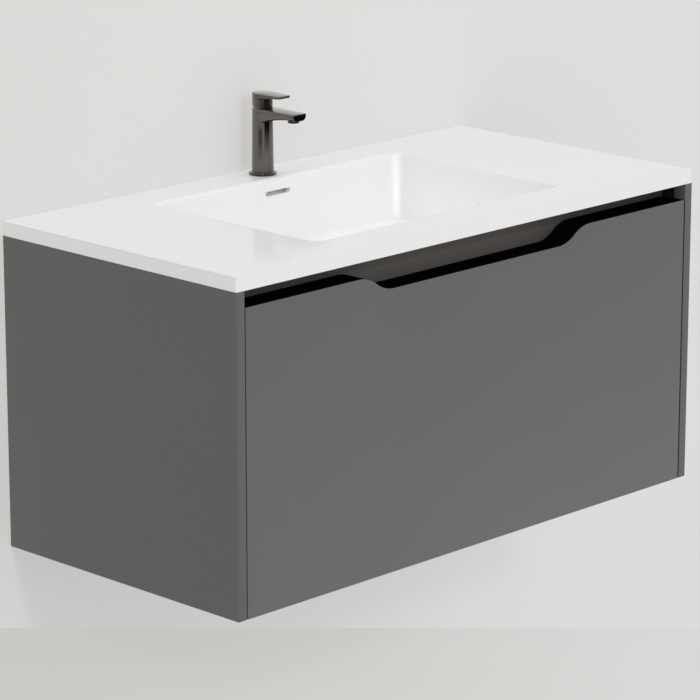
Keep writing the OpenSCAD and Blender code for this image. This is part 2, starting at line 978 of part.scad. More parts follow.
module tap_body() {
    lead_z = body_h - spout_tip_h / 2;
    color("#585552")
        at_tap()
            difference() {
                union() {
                    translate([0, 0, foot_h - 0.01])
                        cylinder(h = body_h - foot_h + 0.01, d1 = body_d_low, d2 = body_d_top);
                    foot();
                    rod_z([0, 0, -spigot_h], spigot_h + 0.01, tap_hole_d - 0.6);
                    spout();
                }
                rod_z([0, 0, body_h - chamber_h], chamber_h + past, chamber_d);
                rod_z([0, 0, body_h - nut_bore_h], nut_bore_h + past, nut_bore_d);
                rod_y([0, -spout_mouth, lead_z], spout_mouth, lead_d);
                rod_z([0, -spout_mouth, 0], lead_z - lead_d / 2 + past, aerator_neck_d + 2 * fit);
                rod_z([0, 0, -spigot_h - past], spigot_h + spigot_bore_h + past, spigot_bore_d);
                for (s = [-1, 1]) {
                    rod_z([s * inlet_x, 0, spigot_bore_h - past], inlet_l + past, inlet_d);
                    rod_z([s * inlet_x, 0, inlet_l], body_h - chamber_h - inlet_l + past, way_d);
                }
                rod_z([0, stud_y, -spigot_h - past], inlet_l + spigot_h + past, stud_d + 2 * fit);
                difference() {
                    rod_z([0, 0, 0], base_seal_t, base_seal_d);
                    rod_z([0, 0, -past], base_seal_t + 2 * past, tap_hole_d);
                }
            }
}

module tap_base_seal() {
    color("#2a2a2a")
        at_tap()
            difference() {
                cylinder(h = base_seal_t, d = base_seal_d);
                translate([0, 0, -past])
                    cylinder(h = base_seal_t + 2 * past, d = tap_hole_d);
            }
}

module tap_cartridge() {
    low = body_h - chamber_h;
    color("#d9d5c8")
        at_tap()
            difference() {
                union() {
                    rod_z([0, 0, low], chamber_h - nut_bore_h, chamber_d - 2 * fit);
                    rod_z([0, 0, body_h - nut_bore_h], neck_h, neck_d);
                }
                rod_z([0, 0, body_h - nut_bore_h + 4], neck_h, rotor_d + 2 * pin_fit);
                for (s = [-1, 1])
                    rod_z([s * inlet_x, 0, low - past], way_d + past, way_d);
                rod_y([0, -chamber_d, body_h - spout_tip_h / 2], chamber_d - lead_in, lead_d);
            }
}

module cartridge_nut() {
    hex_h = 4;
    hex_d = 27;
    color("#c8b070")
        at_tap()
            translate([0, 0, body_h - nut_bore_h])
                difference() {
                    union() {
                        cylinder(h = nut_bore_h - 0.2, d = nut_bore_d - 2 * fit);
                        cylinder(h = nut_bore_h + hex_h, d = hex_d, $fn = 6);
                    }
                    translate([0, 0, -past])
                        cylinder(h = nut_bore_h + hex_h + 2 * past, d = neck_d + 2 * fit);
                    rod_y([0, -chamber_d, nut_bore_h - spout_tip_h / 2], chamber_d - lead_in, lead_d);
                }
}

module cartridge_rotor() {
    low = body_h - nut_bore_h + 4 + run_gap;
    color("#b8b0a0")
        at_tap()
            difference() {
                rod_z([0, 0, low], body_h + rotor_top - low, rotor_d);
                span([-spindle_w / 2 - 0.3, -slot_half, body_h - 6],
                    [spindle_w / 2 + 0.3, slot_half, body_h + rotor_top + past]);
                rod_x([-7, 0, z_pivot - z_slab], 14, pivot_d + 2 * pin_fit);
            }
}

module spindle_pin() {
    color("#b4b4b4")
        at_tap()
            rod_x([-6.5, 0, z_pivot - z_slab], 13, pivot_d);
}

module tap_spindle() {
    color("#c8b070")
        at_tap()
            difference() {
                span([-spindle_w / 2, -spindle_w / 2, z_pivot - z_slab - 2.8],
                    [spindle_w / 2, spindle_w / 2, body_h + spindle_top]);
                rod_x([-7, 0, z_pivot - z_slab], 14, pivot_d + 2 * pin_fit);
            }
}

// Plan of the blade of the lever: it leaves the cap full width and tapers to small corners
module blade_plan() {
    tip = lever_tip_w / 2;
    corner = 3;
    circle(d = cap_d, $fn = 96);
    polygon([[-cap_d / 2, 0], [cap_d / 2, 0], [tip, -lever_reach + corner],
        [-tip, -lever_reach + corner]]);
    translate([0, -lever_reach + corner])
        square([2 * (tip - corner), 2 * corner], center = true);
    for (s = [-1, 1])
        translate([s * (tip - corner), -lever_reach + corner])
            circle(corner);
}

// Side view of the blade in Y and Z: it thins from the cap to the tip
module blade_side() {
    top = body_h + lever_h;
    polygon([[0, top - blade_root_t], [0, top], [-lever_reach - past, top],
        [-lever_reach - past, top - lever_tip_t]]);
}

// Side view of the cap in Y and Z, cut away behind so that it can tilt
module cap_side() {
    r = cap_d / 2 + past;
    base = body_h + joint_gap;
    rise = r * tan(lever_lift);
    polygon([[-r, base], [0, base], [r, base + rise], [r, body_h + lever_h],
        [-r, body_h + lever_h]]);
}

module tap_lever() {
    color("#585552")
        at_tap()
            difference() {
                union() {
                    intersection() {
                        rod_z([0, 0, body_h], lever_h, cap_d);
                        rotate([90, 0, 90])
                            linear_extrude(cap_d + 2 * past, center = true)
                                cap_side();
                    }
                    intersection() {
                        translate([0, 0, body_h])
                            linear_extrude(lever_h)
                                blade_plan();
                        rotate([90, 0, 90])
                            linear_extrude(cap_d + 2 * past, center = true)
                                blade_side();
                    }
                }
                rod_z([0, 0, body_h - past], cap_hollow_h + past, cap_d - 2 * cap_wall);
                span([-spindle_w / 2 - fit, -spindle_w / 2 - fit, body_h + cap_hollow_h - past],
                    [spindle_w / 2 + fit, spindle_w / 2 + fit, body_h + spindle_top + 0.3]);
                rod_y([0, 0, body_h + grub_z], cap_d, grub_d + 2 * fit);
            }
}

module lever_grub_screw() {
    color("#3a3a3a")
        at_tap()
            difference() {
                rod_y([0, spindle_w / 2, body_h + grub_z], grub_l, grub_d);
                translate([0, spindle_w / 2 + grub_l - 2, body_h + grub_z])
                    rotate([-90, 0, 0])
                        cylinder(h = 3, d = 2.5, $fn = 6);
            }
}

module lever_index_plug() {
    y_plug = spindle_w / 2 + grub_l + 1;
    color("#4a4846")
        at_tap()
            rod_y([0, y_plug, body_h + grub_z], cap_d / 2 - y_plug - 0.2, grub_d);
}

// The aerator screws in from below: a short collar with a grid of ribs inside
module aerator() {
    top = body_h - spout_tip_h / 2 - lead_d / 2;
    low = spout_low(spout_mouth) - aerator_show;
    rib = 0.8;
    shadow_gap = 1.4;
    color("#4a4846")
        at_tap()
            translate([0, -spout_mouth, 0]) {
                difference() {
                    union() {
                        rod_z([0, 0, low], top - low, aerator_neck_d);
                        rod_z([0, 0, low], aerator_show - shadow_gap, aerator_d);
                    }
                    rod_z([0, 0, low - past], top - low + 2 * past, aerator_d - 5);
                }
                for (a = [0, 60, 120])
                    rotate(a)
                        translate([0, 0, low + 1.6])
                            cube([aerator_d - 4, rib, 1.6], center = true);
                difference() {
                    rod_z([0, 0, low + 0.8], 1.6, 7);
                    rod_z([0, 0, low], 4, 5.4);
                }
            }
}

module tap_stud() {
    color("#c8b070")
        at_tap()
            rod_z([0, stud_y, inlet_l - stud_l], stud_l, stud_d);
}

// Outline of the clamp under the deck: round, cut straight beside the duct and slotted
module clamp_plan() {
    r = foot_d / 2;
    y_cut = y_duct_out + tap_back + 1.5;
    difference() {
        circle(r);
        translate([-r - past, -r - past])
            square([2 * (r + past), y_cut + r + past]);
        translate([-1.5 * inlet_d, -r])
            square([3 * inlet_d, r + 4]);
        for (s = [-1, 1])
            translate([s * inlet_x, 0])
                circle(d = inlet_d + 1);
        translate([0, stud_y])
            circle(d = stud_d + 2 * fit);
    }
}

module tap_clamp_rubber() {
    color("#2a2a2a")
        at_tap()
            translate([0, 0, -slab_t - clamp_rubber_t])
                linear_extrude(clamp_rubber_t)
                    clamp_plan();
}

module tap_clamp_plate() {
    color("#b4b4b4")
        at_tap()
            translate([0, 0, -slab_t - clamp_rubber_t - clamp_plate_t])
                linear_extrude(clamp_plate_t)
                    clamp_plan();
}

module tap_clamp_nut() {
    nut_h = 12;
    color("#c8b070")
        at_tap()
            translate([0, stud_y, -slab_t - clamp_rubber_t - clamp_plate_t - nut_h])
                difference() {
                    cylinder(h = nut_h, d = 15, $fn = 6);
                    translate([0, 0, -past])
                        cylinder(h = nut_h + 2 * past, d = stud_d + 2 * fit);
                }
}

// ---------------------------------------------------------------- drawer

// The scoop for the fingers: a flat, and on each side an S of two equal arcs
module scoop() {
    turn = acos(1 - scoop_h / (2 * scoop_r));
    flank = scoop_r * sin(turn);
    mid = scoop_w / 2;
    low = z_front - scoop_h;
    translate([-(mid - flank), low])
        square([2 * (mid - flank), scoop_h + past]);
    for (s = [0, 1])
        mirror([s, 0]) {
            intersection() {
                translate([mid - flank, low])
                    square([flank, scoop_h + past]);
                translate([mid - flank, low + scoop_r])
                    circle(scoop_r, $fn = 180);
            }
            difference() {
                translate([mid, low + scoop_h / 2])
                    square([flank, scoop_h / 2 + past]);
                translate([mid + flank, z_front - scoop_r])
                    circle(scoop_r, $fn = 180);
            }
        }
}

// A front board from one level up to the scooped edge, standing in the X and Z plane
module front_board(half, low, y, t) {
    translate([0, y + t, 0])
        rotate([90, 0, 0])
            linear_extrude(t)
                difference() {
                    translate([-half, low])
                        square([2 * half, z_front - low]);
                    scoop();
                }
}

// Screws through the inner front into the lacquered front, heads towards the drawer
function front_screw_places() = [for (x = [-0.8, 0, 0.8], z = [0.3, 0.75])
    [x * x_board, z_side_low + z * side_h]];
module front_screw_set(grow) {
    for (p = front_screw_places()) {
        rod_y([p.x, y_inner - 10 - grow, p.y], inner_t + 10 + grow, screw_d + 2 * grow);
        rod_y([p.x, y_inner_back, p.y], 2, screw_head_d + 2 * grow);
    }
}

// Screws through the drawer sides into the inner front and the back: [y, z]
function side_screw_places() = [for (z = [0.25, 0.8]) z_side_low + z * side_h];
module side_screw_set(grow) {
    y_back = y_side_back - board_t / 2;
    for (z = side_screw_places()) {
        rod_x([x_side - screw_l, y_back, z], screw_l, screw_d + 2 * grow);
        rod_x([x_side - 2.5, y_back, z], 2.5 + grow, screw_head_d + 2 * grow);
    }
}

module corner_screw_set(grow) {
    for (z = side_screw_places())
        rod_y([(x_side + x_board) / 2, y_inner + 4 - grow, z], screw_l + grow, screw_d + 2 * grow);
}

module drawer_front() {
    color("#68686a")
        difference() {
            front_board(x_in - front_reveal, z_bot, y_front, front_t);
            front_screw_set(fit);
        }
}

module drawer_inner_front() {
    color("#1c1c1c")
        difference() {
            front_board(x_in - inner_reveal, z_floor + 8, y_inner, inner_t);
            front_screw_set(fit);
            both_sides()
                corner_screw_set(fit);
        }
}

module drawer_side() {
    difference() {
        span([x_board, y_inner_back, z_side_low], [x_side, y_side_back, z_side_top]);
        side_screw_set(fit);
        corner_screw_set(fit);
        span([x_board - past, y_inner_back - past, z_board], [x_board + groove, y_side_back + past,
            z_board + board_t]);
    }
}

module drawer_side_left() {
    color("#2c2c2c")
        mirror([1, 0, 0])
            drawer_side();
}

module drawer_side_right() {
    color("#2c2c2c")
        drawer_side();
}

// The back has a deep notch, so that the drawer passes the trap
module drawer_back() {
    low = z_board + board_t;
    color("#2c2c2c")
        difference() {
            span([-x_board, y_side_back - board_t, low], [x_board, y_side_back, z_side_top]);
            both_sides()
                side_screw_set(fit);
            translate([0, y_side_back - board_t - past, z_side_top])
                rotate([-90, 0, 0])
                    linear_extrude(board_t + 2 * past)
                        rounded_rect(trap_notch_w, 2 * trap_notch_h, trap_notch_r);
        }
}

module drawer_bottom() {
    color("#3a3a3a")
        span([-x_board - groove + fit, y_inner_back, z_board + fit],
            [x_board + groove - fit, y_side_back, z_board + board_t - fit]);
}

module drawer_screws() {
    color("#b4b4b4") {
        front_screw_set(0);
        both_sides() {
            side_screw_set(0);
            corner_screw_set(0);
        }
    }
}

// Soft buffers on the front rail, which the inner front meets as the drawer closes
module closing_buffers() {
    color("#d8d6d0")
        both_sides()
            rod_y([x_in - buffer_in, y_inner_back + run_gap, z_top - front_rail_h + buffer_up],
                closing_gap - run_gap, buffer_d);
}

// ---------------------------------------------------------------- runners

// Half sections of the rolled profiles, around the middle of the runner at x = 0
module channel_section(z) {
    half = runner_w / 2;
    translate([-half, z])
        square([runner_w, runner_t]);
    for (s = [0, 1])
        mirror([s, 0]) {
            translate([half - runner_t, z])
                square([runner_t, runner_h]);
            translate([half - runner_t - lip, z + runner_h - runner_t])
                square([lip + runner_t, runner_t]);
        }
}

// The middle section carries a bulb in each channel, joined by a neck
function bulb_half() = runner_w / 2 - runner_t - race;
function bulb_low() = z_run_low + runner_t + bulb_under;
function bulb_h() = runner_h - 2 * runner_t - bulb_under - bulb_over;
// Mirrors a section about the split between the lower and the upper half
module upper_half() {
    mid = z_run_mid + split_gap / 2;
    translate([0, mid])
        mirror([0, 1])
            translate([0, -mid])
                children();
}

module middle_section() {
    neck = 6;
    mid = z_run_mid + split_gap / 2;
    low = bulb_low();
    top = low + bulb_h();
    difference() {
        union() {
            for (z = [low, 2 * mid - top])
                translate([-bulb_half(), z])
                    square([2 * bulb_half(), bulb_h()]);
            translate([-neck, top - runner_t])
                square([2 * neck, 2 * (mid - top + runner_t)]);
        }
        for (z = [low - past, 2 * mid - top + runner_t])
            translate([-bulb_half() + runner_t, z])
                square([2 * (bulb_half() - runner_t), bulb_h() - runner_t + past]);
        translate([-neck + runner_t, top])
            square([2 * (neck - runner_t), 2 * (mid - top)]);
    }
}

// Runs a section along the runner
module along_runner(l) {
    translate([x_run, y_run_back - runner_l / 2, 0])
        rotate([90, 0, 0])
            linear_extrude(l, center = true)
                children();
}

module runner_screw_set(grow) {
    edge = 9;
    bite = 11;
    shank = 5;
    head_d = 8;
    head_t = 1.2;
    for (f = [0.1, 0.5, 0.9])
        translate([0, y_run_back - f * runner_l, z_run + flange_h - edge]) {
            rod_x([x_in - flange_t, 0, 0], flange_t + bite + grow, shank + 2 * grow);
            rod_x([x_in - flange_t - head_t, 0, 0], head_t, head_d);
        }
}

module runner_fixed() {
    difference() {
        union() {
            along_runner(runner_l)
                channel_section(z_run_low);
            span([x_run - runner_w / 2, y_run_back - runner_l, z_run],
                [x_run + runner_w / 2, y_run_back, z_run_low + runner_t]);
            span([x_run - runner_w / 2, y_run_back - runner_l, z_run],
                [x_in, y_run_back, z_run + flange_t]);
            span([x_in - flange_t, y_run_back - runner_l, z_run],
                [x_in, y_run_back, z_run + flange_h]);
        }
        runner_screw_set(fit);
    }
}

module runner_fixed_left() {
    color("#b0b0ae")
        mirror([1, 0, 0])
            runner_fixed();
}

module runner_fixed_right() {
    color("#b0b0ae")
        runner_fixed();
}

module runner_middle() {
    along_runner(runner_l)
        middle_section();
}

module runner_middle_left() {
    color("#bcbcba")
        mirror([1, 0, 0])
            runner_middle();
}

module runner_middle_right() {
    color("#bcbcba")
        runner_middle();
}

module runner_drawer() {
    along_runner(runner_l)
        upper_half()
            channel_section(z_run_low);
}

module runner_drawer_left() {
    color("#b0b0ae")
        mirror([1, 0, 0])
            runner_drawer();
}

module runner_drawer_right() {
    color("#b0b0ae")
        runner_drawer();
}

module runner_screws() {
    color("#c8b070")
        both_sides()
            runner_screw_set(0);
}

// A cage strip stands in the middle of the race, with a row of balls in its windows
function race_mid() = bulb_half() + race / 2;
function ball_z() = bulb_low() + bulb_h() / 2;
module cage_section() {
    for (s = [0, 1])
        mirror([s, 0])
            translate([race_mid() - cage_t / 2, z_run_low + runner_t + run_gap])
                square([cage_t, ball_z() - z_run_low - runner_t - run_gap + ball_d / 2 + 1]);
    translate([-race_mid(), z_run_low + runner_t + run_gap])
        square([2 * race_mid(), 0.8]);
}

module at_balls() {
    count = floor((cage_l - 12) / ball_pitch);
    for (i = [0:count], s = [-1, 1])
        translate([x_run + s * race_mid(),
            y_run_back - runner_l / 2 + (i - count / 2) * ball_pitch, ball_z()])
            children();
}

module lower_cage() {
    difference() {
        along_runner(cage_l)
            cage_section();
        at_balls()
            cube(ball_d + 2 * fit, center = true);
    }
    at_balls()
        sphere(d = ball_d, $fn = 24);
}

// The upper half of a runner is the lower one upside down
module flip_runner() {
    mid = z_run_mid + split_gap / 2;
    translate([0, 0, mid])
        mirror([0, 0, 1])
            translate([0, 0, -mid])
                children();
}

module lower_cage_left() {
    color("#8a8a88")
        mirror([1, 0, 0])
            lower_cage();
}

module lower_cage_right() {
    color("#8a8a88")
        lower_cage();
}

module upper_cage_left() {
    color("#8a8a88")
        mirror([1, 0, 0])
            flip_runner()
                lower_cage();
}

module upper_cage_right() {
    color("#8a8a88")
        flip_runner()
            lower_cage();
}

// Clips under the drawer bottom that lock the drawer to its runners
module runner_clip() {
    clip_w = 18;
    clip_l = 52;
    clip_h = 11;
    x_clip = x_run - runner_w / 2 - clip_w;
    y_clip = y_inner_back + 2;
    difference() {
        span([x_clip, y_clip, z_board - clip_h], [x_clip + clip_w, y_clip + clip_l, z_board]);
        translate([x_clip + clip_w / 2 - 4, y_clip + clip_l / 2, z_board - clip_h / 2])
            cube([clip_w, clip_l - 12, clip_h - 5], center = true);
    }
}

module runner_clips() {
    color("#d8d6d0")
        both_sides()
            runner_clip();
}

// ---------------------------------------------------------------- choice of node

side_panel_left();
side_panel_right();
bottom_panel();
back_rail_top();
back_rail_bottom();
front_rail();
carcass_dowels();
carcass_cams();
carcass_cam_bolts();
wall_plates();
hanger_left();
hanger_right();
hanger_hooks();
hanger_adjusters();
hanger_screws();
basin_top();
overflow_duct();
waste_body();
waste_gasket();
waste_seal();
waste_nut();
waste_holder();
waste_plug();
plug_seal();
tap_body();
tap_base_seal();
tap_cartridge();
cartridge_nut();
cartridge_rotor();
spindle_pin();
tap_spindle();
tap_lever();
lever_grub_screw();
lever_index_plug();
aerator();
tap_stud();
tap_clamp_rubber();
tap_clamp_plate();
tap_clamp_nut();
drawer_front();
drawer_inner_front();
drawer_side_left();
drawer_side_right();
drawer_back();
drawer_bottom();
drawer_screws();
closing_buffers();
runner_fixed_left();
runner_fixed_right();
runner_middle_left();
runner_middle_right();
runner_drawer_left();
runner_drawer_right();
runner_screws();
runner_clips();
lower_cage_left();
lower_cage_right();
upper_cage_left();
upper_cage_right();
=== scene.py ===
# %% [markdown]
# # A floating vanity, dressed for its photograph
# The CAD model gives every board, fitting and metal part its exact place. This lesson keeps those
# places and adds what CAD leaves out: soft arrises on lacquered board, a cast top with a soft rim,
# a turned and filed tap, and a finish for each material. All lengths are in metres, X runs across
# the width, the wall is the plane Y = 0 and the front looks along -Y.

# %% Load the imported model
import json
import math

import bmesh
import bpy
import numpy as np
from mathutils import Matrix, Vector

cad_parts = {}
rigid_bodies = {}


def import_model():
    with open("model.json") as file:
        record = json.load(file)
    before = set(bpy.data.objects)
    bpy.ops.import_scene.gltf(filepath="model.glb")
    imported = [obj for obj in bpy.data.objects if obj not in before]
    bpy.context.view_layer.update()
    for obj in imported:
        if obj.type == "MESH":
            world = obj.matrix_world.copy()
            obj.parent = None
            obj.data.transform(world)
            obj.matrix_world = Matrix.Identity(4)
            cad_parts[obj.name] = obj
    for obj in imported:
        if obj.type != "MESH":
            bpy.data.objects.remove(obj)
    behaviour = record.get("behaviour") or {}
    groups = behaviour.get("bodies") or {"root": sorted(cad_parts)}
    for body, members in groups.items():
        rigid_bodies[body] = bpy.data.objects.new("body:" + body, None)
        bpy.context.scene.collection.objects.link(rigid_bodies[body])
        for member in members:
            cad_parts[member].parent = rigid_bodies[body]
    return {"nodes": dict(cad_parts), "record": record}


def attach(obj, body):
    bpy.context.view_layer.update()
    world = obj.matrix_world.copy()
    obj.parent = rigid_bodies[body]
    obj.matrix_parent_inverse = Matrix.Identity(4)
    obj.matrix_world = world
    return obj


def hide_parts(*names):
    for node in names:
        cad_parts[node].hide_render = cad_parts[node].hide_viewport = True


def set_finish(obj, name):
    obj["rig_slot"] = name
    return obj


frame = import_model()
scene = bpy.context.scene
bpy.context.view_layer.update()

# %% [markdown]
# ## The camera
# The photograph was taken with a long lens from the front left, at about 15 degrees above the
# horizon. A lens shift would keep the uprights parallel, but it would follow the camera into every
# other view, so a level tilt was fitted to the cabinet's corners instead. The fit gives the place
# looked at, the two angles, the distance and the lens.

# %% Camera
look_at = np.array([-0.0186, -0.250, -0.1567])
azimuth, elevation, distance = math.radians(-45.6), math.radians(15.05), 5.53
away = np.array([math.sin(azimuth) * math.cos(elevation),
                 -math.cos(azimuth) * math.cos(elevation), math.sin(elevation)])


def stand(name, data, place, aim):
    """A camera or lamp at a place, turned so that its -Z axis points at the aim."""
    made = bpy.data.objects.new(name, data)
    made.location = place
    made.rotation_mode = "QUATERNION"
    made.rotation_quaternion = (Vector(aim) - made.location).to_track_quat("-Z", "Y")
    scene.collection.objects.link(made)
    return made


camera_data = bpy.data.cameras.new("camera")
camera_data.lens, camera_data.sensor_width = 183.9, 36.0
camera_data.clip_start, camera_data.clip_end = 0.1, 60.0
camera = stand("camera", camera_data, look_at + away * distance, look_at)
scene.camera = camera
print("camera at", [round(v, 3) for v in camera.location])

# %% [markdown]
# ## Colours and node helpers
# Colours are read off as the 0 to 255 values of a screen, while the renderer counts light, so each
# one is turned into linear light first. The helpers add a node and fill its inputs by name, do one
# step of arithmetic, and mix two colours or two shaders.

# %% Node helpers
scene.view_settings.view_transform = "Standard"


def tone(red, green, blue):
    """Linear light of a screen colour: ((c / 255 + 0.055) / 1.055) to the power 2.4, alpha 1."""
    c = np.array([red, green, blue]) / 255
    linear = np.where(c <= 0.04045, c / 12.92, ((c + 0.055) / 1.055) ** 2.4)
    return (*linear.tolist(), 1.0)


def put(tree, kind, settings=None, **inputs):
    """Adds a node of a kind, sets its own settings, and fills or links its inputs by name."""
    made = tree.nodes.new(kind)
    for key, value in (settings or {}).items():
        setattr(made, key, value)
    for key, value in inputs.items():
        join(tree, value, made.inputs[key.replace("_", " ")])
    return made


def join(tree, value, socket):
    """Links an output to a socket, or writes a plain number or colour on it."""
    if isinstance(value, bpy.types.NodeSocket):
        tree.links.new(value, socket)
    else:
        socket.default_value = value


def maths(tree, operation, a, b=0.0, clamp=False):
    """One step of arithmetic on two numbers or outputs."""
    made = tree.nodes.new("ShaderNodeMath")
    made.operation, made.use_clamp = operation, clamp
    join(tree, a, made.inputs[0])
    join(tree, b, made.inputs[1])
    return made.outputs[0]


def times(tree, a, b):
    """The product of two numbers or outputs."""
    return maths(tree, "MULTIPLY", a, b)


def blend_colours(tree, mask, first, second):
    """first where the mask is 0, second where it is 1, and a straight mix between."""
    made = tree.nodes.new("ShaderNodeMix")
    made.data_type = "RGBA"
    join(tree, mask, made.inputs[0])
    join(tree, first, made.inputs[6])
    join(tree, second, made.inputs[7])
    return made.outputs[2]


def mix_shaders(tree, share, first, second):
    """The first shader where the share is 0, the second where it is 1."""
    made = tree.nodes.new("ShaderNodeMixShader")
    for socket, value in zip(made.inputs, (share, first, second)):
        join(tree, value, socket)
    return made.outputs[0]


def ramp(tree, value, low, high, start=0.0, end=1.0):
    """Straight map of value from low..high to start..end, held at both ends."""
    made = tree.nodes.new("ShaderNodeMapRange")
    for i, v in enumerate((value, low, high, start, end)):
        join(tree, v, made.inputs[i])
    return made.outputs[0]


def spread(tree, noise, start, end):
    """A noise mapped to start..end. Nearly all of its values lie between 0.3 and 0.7."""
    return ramp(tree, noise, 0.3, 0.7, start, end)


def split(tree, vector):
    """The X, Y and Z outputs of a vector."""
    return put(tree, "ShaderNodeSeparateXYZ", Vector=vector).outputs


def here(tree):
    """The place of a point of the surface, in its object's own coordinates."""
    return put(tree, "ShaderNodeTexCoord").outputs["Object"]


def empty_material(name):
    """A material without nodes, and its node tree."""
    material = bpy.data.materials.new(name)
    material.use_nodes = True
    material.node_tree.nodes.clear()
    return material, material.node_tree


print("view transform:", scene.view_settings.view_transform)

# %% [markdown]
# ## The studio
# The picture shows a pale wall and a slightly darker floor whose far edge runs level. The wall is a
# backdrop that only the camera sees, and only from the front, so the back of the cabinet can be
# looked at too and no light is held up. The world is a soft even dome, with the pale backdrop
# colour for the camera and for reflections.

# %% World
dome_strength = 0.72
world = bpy.data.worlds.new("studio")
scene.world = world
world.use_nodes = True
sky = world.node_tree
sky.nodes.clear()
dome = put(sky, "ShaderNodeBackground", Color=tone(252, 252, 253), Strength=dome_strength)
seen = put(sky, "ShaderNodeBackground", Color=tone(226, 225, 223), Strength=1.0)
rays = put(sky, "ShaderNodeLightPath")
direct = maths(sky, "ADD", rays.outputs["Is Camera Ray"], rays.outputs["Is Glossy Ray"], True)
direct = maths(sky, "ADD", direct, rays.outputs["Is Transmission Ray"], True)
put(sky, "ShaderNodeOutputWorld",
    Surface=mix_shaders(sky, direct, dome.outputs[0], seen.outputs[0]))
print("world nodes:", len(sky.nodes))

# %% [markdown]
# The floor ends in a straight edge that lies square to the line of sight, which is what makes it
# level in the picture. Its corners are worked out from one point on that edge, the direction of
# sight and the direction across it.

# %% Floor and wall
floor_z, edge_nearer, floor_deep = -0.533, 0.222, 12
stage_half, wall_low, wall_high, wall_gap = 9, -5, 7, 0.0005
ahead = -np.array([away[0], away[1]]) / math.hypot(away[0], away[1])
across = np.array([ahead[1], -ahead[0]])
edge = look_at[:2] - edge_nearer * ahead


def stage_sheet(name, corners, *hidden_from):
    """A flat sheet of the studio, not of the object, hidden from some kinds of rays."""
    mesh = bpy.data.meshes.new(name)
    mesh.from_pydata([list(map(float, c)) for c in corners], [], [(0, 1, 2, 3)])
    sheet = bpy.data.objects.new(name, mesh)
    scene.collection.objects.link(sheet)
    for kind in hidden_from:
        setattr(sheet, "visible_" + kind, False)
    return sheet


def upright(start, end, low, high):
    """The corners of an upright sheet over the line from start to end, between two heights."""
    return [(*start, low), (*end, low), (*end, high), (*start, high)]


floor = stage_sheet("floor", [(*(edge + a * across + b * ahead), floor_z) for a, b in (
    (-stage_half, -floor_deep), (stage_half, -floor_deep), (stage_half, 0), (-stage_half, 0))])
wall = stage_sheet("wall", upright((-stage_half, wall_gap), (stage_half, wall_gap), wall_low,
                                   wall_high),
                   "diffuse", "glossy", "transmission", "volume_scatter", "shadow")
print("floor edge through", edge.round(3))

# %% [markdown]
# Wall and floor are matt paint with faint shadows. Their colour is painted a little darker to the
# left and lighter to the right, a painted shade gradient. More lamps would wash out the cabinet
# too, so the paint gives back a share of plain light, and the rest of it takes the shadow.

# %% Stage finishes
def stage_material(name, dark, colour, lift):
    """Matt paint that keeps shadows, lifted towards its own colour by a share of plain light. Its
    colour runs as a painted shade gradient from the dark tone to its full colour along the floor's
    edge, with soft clouds."""
    material, tree = empty_material(name)
    spot = here(tree)
    cloud = put(tree, "ShaderNodeTexNoise", Vector=spot, Scale=1.3, Detail=3.0)
    along = put(tree, "ShaderNodeVectorMath", {"operation": "DOT_PRODUCT"})
    join(tree, spot, along.inputs[0])
    join(tree, (*across, 0.0), along.inputs[1])
    # painted shade: the colour is darker to the left along the floor's edge and lighter to the
    # right
    shift = maths(tree, "ADD", ramp(tree, along.outputs["Value"], -0.6, 0.6),
                  spread(tree, cloud.outputs["Fac"], -0.08, 0.08), True)
    painted = blend_colours(tree, shift, dark, colour)
    matt = put(tree, "ShaderNodeBsdfDiffuse", Color=painted)
    light = put(tree, "ShaderNodeEmission", Color=painted, Strength=1.0)
    return material, tree, mix_shaders(tree, lift, matt.outputs[0], light.outputs[0])


wall_paint, tree, paint = stage_material("wall_paint", tone(226, 225, 223), tone(232, 231, 229),
                                         0.50)
back_side = put(tree, "ShaderNodeNewGeometry").outputs["Backfacing"]
clear = put(tree, "ShaderNodeBsdfTransparent").outputs[0]
put(tree, "ShaderNodeOutputMaterial", Surface=mix_shaders(tree, back_side, paint, clear))
wall.data.materials.append(wall_paint)
floor_paint, tree, paint = stage_material("floor_paint", tone(202, 201, 198), tone(221, 220, 218),
                                          0.85)
put(tree, "ShaderNodeOutputMaterial", Surface=paint)
floor.data.materials.append(floor_paint)
print("stage materials:", wall_paint.name, floor_paint.name)

# %% [markdown]
# A polished tap is dark where it mirrors something dark, and light where it mirrors the room. In
# the photograph the column has one black streak under the spout and a fainter one to its left, and
# both fade downwards, so dark cards stood round the tap. Two such cards stand here over the bowl,
# dark above and running out to the tone of the room below. Only reflections see them: they are
# hidden from the camera and take no light from the scene.

# %% Dark cards
def dark_card(name, corners, fade_low, fade_high, grey):
    """A sheet that shines with the room's tone under fade_low and grey above fade_high."""
    card = stage_sheet(name, corners, "camera", "diffuse", "transmission", "volume_scatter",
                       "shadow")
    material, tree = empty_material(name)
    height = split(tree, here(tree))[2]
    shine = put(tree, "ShaderNodeEmission", Strength=1.0, Color=blend_colours(
        tree, ramp(tree, height, fade_low, fade_high), tone(228, 227, 226),
        tone(grey, grey, grey)))
    put(tree, "ShaderNodeOutputMaterial", Surface=shine.outputs[0])
    card.data.materials.append(material)
    return card


front_card = dark_card("front_card", upright((-0.0415, -0.135), (0.052, -0.135), 0.104, 0.190),
                       fade_low=0.113, fade_high=0.150, grey=64)
left_card = dark_card("left_card", upright((-0.09, -0.115), (-0.09, -0.030), 0.098, 0.150),
                      fade_low=0.104, fade_high=0.132, grey=146)
print("cards:", front_card.name, left_card.name)

# %% [markdown]
# Four lamps and the dome light the scene. The tap's narrow shadow on the wall starts 8 mm left of
# its axis and 14 mm under its top, so the main softbox is small and stands in front, 13 degrees to
# the left and 28 degrees up. A second one looks straight down. In the photograph the bowl is as
# bright as the slab round it, down to its right wall, so a third lamp sends a narrow beam from the
# left into the bowl alone, and a slit of light picks out one upright corner of the bowl.

